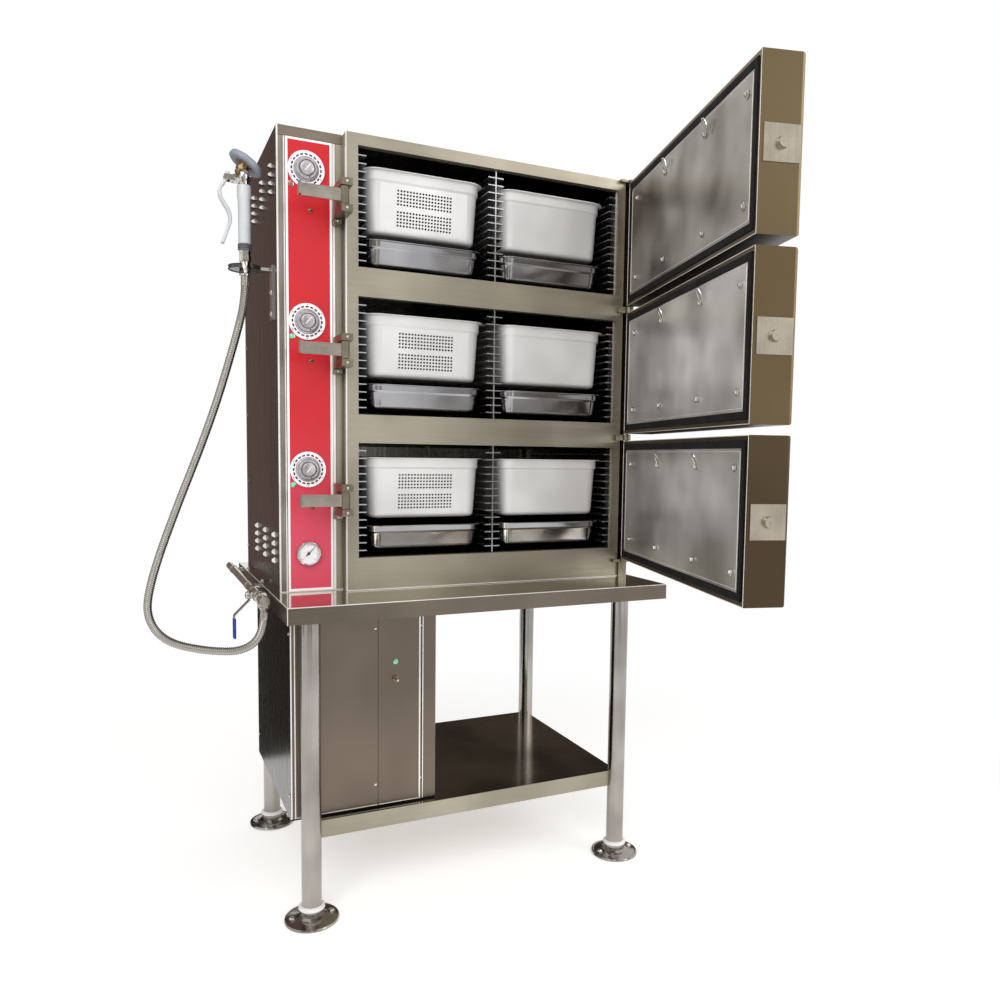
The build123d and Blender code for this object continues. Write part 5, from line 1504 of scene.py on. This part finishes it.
# ------------------------------------------------------------------ spray set
@dataclass
class SpraySet:
    """Pre-rinse spray valve on its hook, and the ball valve under it."""
    gun: tuple[float, float] = (-556.0, -198.0)
    foot_z: float = 1560.0
    grip_z: tuple[float, float] = (1600.0, 1748.0)
    grip_r: float = 15.5
    bore_r: float = 8.5
    tilt: float = 33.0
    shift: float = -12.0
    neck: float = 24.0
    bumper_r: float = 41.0
    bumper_t: float = 14.0
    collars: int = 3
    jets: Sequence[tuple[float, int]] = ((7.0, 6), (13.5, 12), (20.0, 18))
    pivot: tuple[float, float] = (-37.0, 12.0)   # squeeze lever's pin from the grip's upper end
    pipe: tuple[float, float] = (-541.0, 795.0)  # X and Z of the supply pipe's axis

    def head(self) -> tuple[Vector, Vector]:
        """Return the foot and the direction of the tilted head."""
        a = math.radians(self.tilt)
        foot = Vector((self.gun[0] + self.shift, self.gun[1], self.grip_z[1] + 24))
        return foot, Vector((math.sin(a), 0, math.cos(a)))

    def grip(self) -> None:
        """Sleeve of the grip with its ribbed collar."""
        at, r, high = (*self.gun, self.grip_z[0]), self.grip_r, self.grip_z[1] - self.grip_z[0]
        sleeve = [(self.bore_r, 15.0), (r - 1.6, 15.0), (r - 1.4, 17.0), (r - 1.4, high - 34.0), (r - 0.2, high - 28.0),
                  (r + 0.3, high - 24.0), (r + 0.3, high - 3.0), (r - 1.2, high - 0.6), (self.bore_r, high)]
        turned("spray_grip_sleeve", ROOT, GREY_POLYMER, "spray_grey", sleeve, at, UP, 36, True, 40.0, ["spray_grip"])
        collar = Form()
        for h in (5.0 * k for k in range(self.collars)):
            collar.lathe([(self.bore_r, h), (r - 0.6, h), (r + 0.2, h + 1.0), (r + 0.2, h + 3.2), (r - 0.6, h + 4.2),
                          (self.bore_r, h + 4.6)], at, steps=36, hollow=True)
        collar.place("spray_grip_collar", ROOT, COLLAR_RUBBER, "spray_grey", 40.0)

    def spray_head(self) -> None:
        """Thick bumper round the spray face, and the face with its rings of jets."""
        foot, ahead = self.head()
        at, b, t = foot + ahead * self.neck, self.bumper_r, self.bumper_t
        ring = [(12.0, 3.0), (b - 22.0, 1.4), (b - 9.0, 0.0), (b - 3.0, 0.6), (b - 0.4, 2.6), (b, 5.6), (b, 8.0),
                (b - 1.4, t - 1.8), (b - 4.6, t - 0.4), (b - 8.6, t - 0.6), (b - 11.4, t - 2.4), (b - 12.5, t - 6.0),
                (12.0, 5.0)]
        turned("spray_bumper", ROOT, BUMPER_RUBBER, "spray_grey", ring, at, ahead, 48, True, 50.0)
        face = Form().lathe([(12.0, -2.0), (30.0, 3.0), (30.0, 6.0), (27.0, 7.6), (3.0, 8.4)], at, ahead, 40)
        for ring_r, count in self.jets:
            for a in (2 * math.pi * k / count for k in range(count)):
                side = ahead.to_track_quat("Z", "Y") @ Vector((ring_r * math.cos(a), ring_r * math.sin(a), 8.0))
                face.lathe([(1.5, 0.0), (1.5, 0.8), (0.9, 1.0)], at + side, ahead, 8)
        face.place("spray_face", ROOT, CHROME, "spray_chrome", 40.0)

    def body(self) -> None:
        """Forged valve body with its bonnet, swivel nut, tapering neck and the lever's ears."""
        (x, y), z1 = self.gun, self.grip_z[1]
        foot, ahead = self.head()
        form = Form()
        form.lathe([(8.0, -18.0), (12.6, -18.0), (12.6, -6.0), (11.0, -4.0), (11.0, 14.0)],
                   (x, y, self.foot_z), steps=28)
        form.lathe([(10.0, 14.0), (13.4, 14.6), (13.4, 30.0), (12.2, 31.0), (12.2, 34.0), (13.2, 34.6), (13.2, 40.0),
                    (8.0, 40.0)], (x, y, self.foot_z), steps=6)
        form.lathe([(9.0, 0.0), (13.0, 0.6), (13.0, 10.0), (14.2, 12.0), (14.2, 26.0), (11.4, 31.0), (9.0, 34.0)],
                   (x, y, z1), steps=32)
        form.lathe([(6.0, 0.0), (10.0, 0.0), (10.0, 7.0), (11.2, 8.0), (11.2, 14.0), (8.0, 15.0), (8.0, 21.0),
                    (4.4, 22.0)], (x - 10.0, y, z1 + 12.0), LEFT, 6)
        form.place("spray_valve_body", ROOT, CHROME, "spray_chrome", 40.0, ["spray_body"])
        route = [foot + Vector((11.0, 0, -9.0)), foot + Vector((5.0, 0, -3.0)),
                 *(foot + ahead * s for s in (5.0, 14.0, self.neck + 0.5))]
        neck = Form().tube(route, lambda s: 9.6 + 0.11 * s, 26)
        neck.lathe([(12.0, 8.0), (13.6, 9.0), (13.6, 17.0), (12.0, 18.0)], foot, ahead, 8)
        neck.place("spray_neck", ROOT, WARM_CHROME, "spray_chrome", 40.0)
        ears = Form()
        for dy in (-10.8, 8.8):
            ears.block((x - 45.0, y + dy, z1 + 5.5), (x - 20.0, y + dy + 2.0, z1 + 18.5), 0.6)
        px, pz = x + self.pivot[0], z1 + self.pivot[1]
        ears.rod((px, y - 11.6, pz), (px, y + 11.6, pz), 1.9, 12)
        ears.place("spray_lever_ears", ROOT, CHROME, "spray_chrome")

    def lever(self) -> None:
        """S-shaped squeeze lever."""
        x, y, z = self.gun[0] + self.pivot[0], self.gun[1], self.grip_z[1] + self.pivot[1]
        bends = ((1.5, 13), (0.6, 6), (-1.2, -1), (-8, -12), (-13.6, -20), (-17, -30), (-16.6, -40), (-12.6, -50),
                 (-6, -61), (0, -70), (4, -80), (5.4, -91), (4.2, -102), (0.8, -112), (-3.4, -124), (-8, -136),
                 (-12, -148))
        form = Form().strip([(x + dx, y, z + dz) for dx, dz in bends], Vector((0, 8.4, 0)), 7.8, 2.6)
        form.place("spray_squeeze_lever", "spray_trigger", GREY_POLYMER, "spray_grey", 40.0, ["spray_lever"])

    def valve(self) -> None:
        """Hexagonal ends of the ball valve, its stem nut, its lever's sleeve and the pipe's clips."""
        dress(["supply_pipe"], PIPE_STEEL)
        dress(["valve_body", "valve_lever"], CHROME)
        (x, z), (low, high) = self.pipe, box_mm("valve_lever")
        mid_y = (low.y + high.y) / 2
        form = Form()
        for y0 in (-300.0, -190.0):
            form.lathe([(12.2, 0.0), (16.6, 0.8), (16.6, 15.2), (12.2, 16.0)], (x, y0, z), BACK, 6)
        form.lathe([(12.2, 0.0), (14.8, 0.8), (14.8, 11.0), (12.2, 12.0)], (x, -330.0, z - 15.0), UP, 6)
        form.lathe([(5.4, 0.0), (9.4, 0.4), (9.4, 3.2), (5.4, 3.6)], (x - 16.4, mid_y, z), RIGHT, 24)
        form.place("valve_hexagons", ROOT, CHROME, "valve_brass")
        turned("valve_stem_nut", "shut_off_lever", SCREW_STEEL, "lever_sleeve",
               [(5.4, 0.0), (7.6, 0.4), (7.6, 4.4), (5.4, 5.0)], (low.x + 31.5, mid_y, z), LEFT, 6)
        sleeve = Form().block((low.x - 1.4, low.y - 1.2, low.z - 1.5), (low.x + 4.6, high.y + 1.2, low.z + 48.0), 1.8)
        sleeve.place("valve_lever_sleeve", "shut_off_lever", SLEEVE_BLUE, "lever_sleeve")
        clips = Form()
        for y in (-80.0, 242.0):
            clips.lathe([(10.2, -8.0), (11.6, -8.0), (11.6, 8.0), (10.2, 8.0)], (x, y, z), BACK, 28)
            Screw(3.6, 2.4, 0.0, 6).add(clips, (x + 17.0, y, z + 3.0), UP)
        clips.place("pipe_clips", ROOT, PIPE_STEEL, "pipe_steel")

    def hook(self, ring_r: float = 36.4, opening: float = 36.0, steps: int = 40) -> None:
        """Dipped ring of the hook with its two beads, and the plate's screws.

        Args:
            ring_r: Radius of the beads' middle.
            opening: Angle of the gap towards the front, in degrees.
            steps: Pieces of one bead.
        """
        dress(["hose_hook"], HOOK_RUBBER)
        dress_part("hose_hook", CHROME, lambda p: p.x > self.gun[0] + 35.0)
        x, y = self.gun
        angles = [math.radians(opening / 2 - 90 + (360 - opening) * i / steps) for i in range(steps + 1)]
        rim, screws = Form(), Form()
        for z in (1556.4, 1563.4):
            bead = [Vector((x + ring_r * math.cos(a), y + ring_r * math.sin(a), z)) for a in angles]
            rim.tube(bead, lambda _: 1.5, 8)
        rim.place("hook_ring_beads", ROOT, HOOK_RUBBER, "hook_dark")
        for z in (1460.0, 1510.0):
            Screw(4.2, 2.6, 7.0, 6).add(screws, (-498.0, y, z), LEFT)
        screws.place("hook_screws", ROOT, SCREW_STEEL, "hook_dark")

    def build(self) -> None:
        """Make the whole spray set."""
        for step in (self.grip, self.spray_head, self.body, self.lever, self.valve, self.hook):
            step()


# ------------------------------------------------------------------ all of it
def build_pans() -> None:
    """Make the twelve pans, the deep left ones perforated."""
    for level in LEVELS:
        for side in ("left", "right"):
            GastronormPan(f"deep_pan_{side}_{level}", perforated=side == "left").build()
            GastronormPan(f"shallow_pan_{side}_{level}", TRAY_STEEL, band=14.0).build()
    LOG.info("pans: 12 pressed, 3 of them perforated")


def main() -> None:
    """Build every sub-assembly in order and log each step, with the hose's face count."""
    logging.basicConfig(level=logging.INFO, format="%(message)s")
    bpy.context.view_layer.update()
    Studio().build()
    LOG.info("stage: camera, floor, cards and lights")
    hose = SprayHose().build()
    LOG.info("hose: %d faces", len(hose.data.polygons))
    for piece in (Stand(), BaseUnit(), Cabinet()):
        piece.build()
        LOG.info("%s dressed", type(piece).__name__)
    build_pans()
    first_mid = box_mm("compartment_liners")[0].z + 1.5 + OPENING_Z / 2
    mids = {level: first_mid + i * PITCH_Z for i, level in enumerate(LEVELS)}
    for level in LEVELS:
        Door(level).build()
        Latch(level).build(mids[level])
        LOG.info("%s door and latch", level)
    ControlColumn().build(mids)
    LOG.info("control column dressed")
    SpraySet().build()
    LOG.info("spray set dressed")


if __name__ == "__main__":
    main()
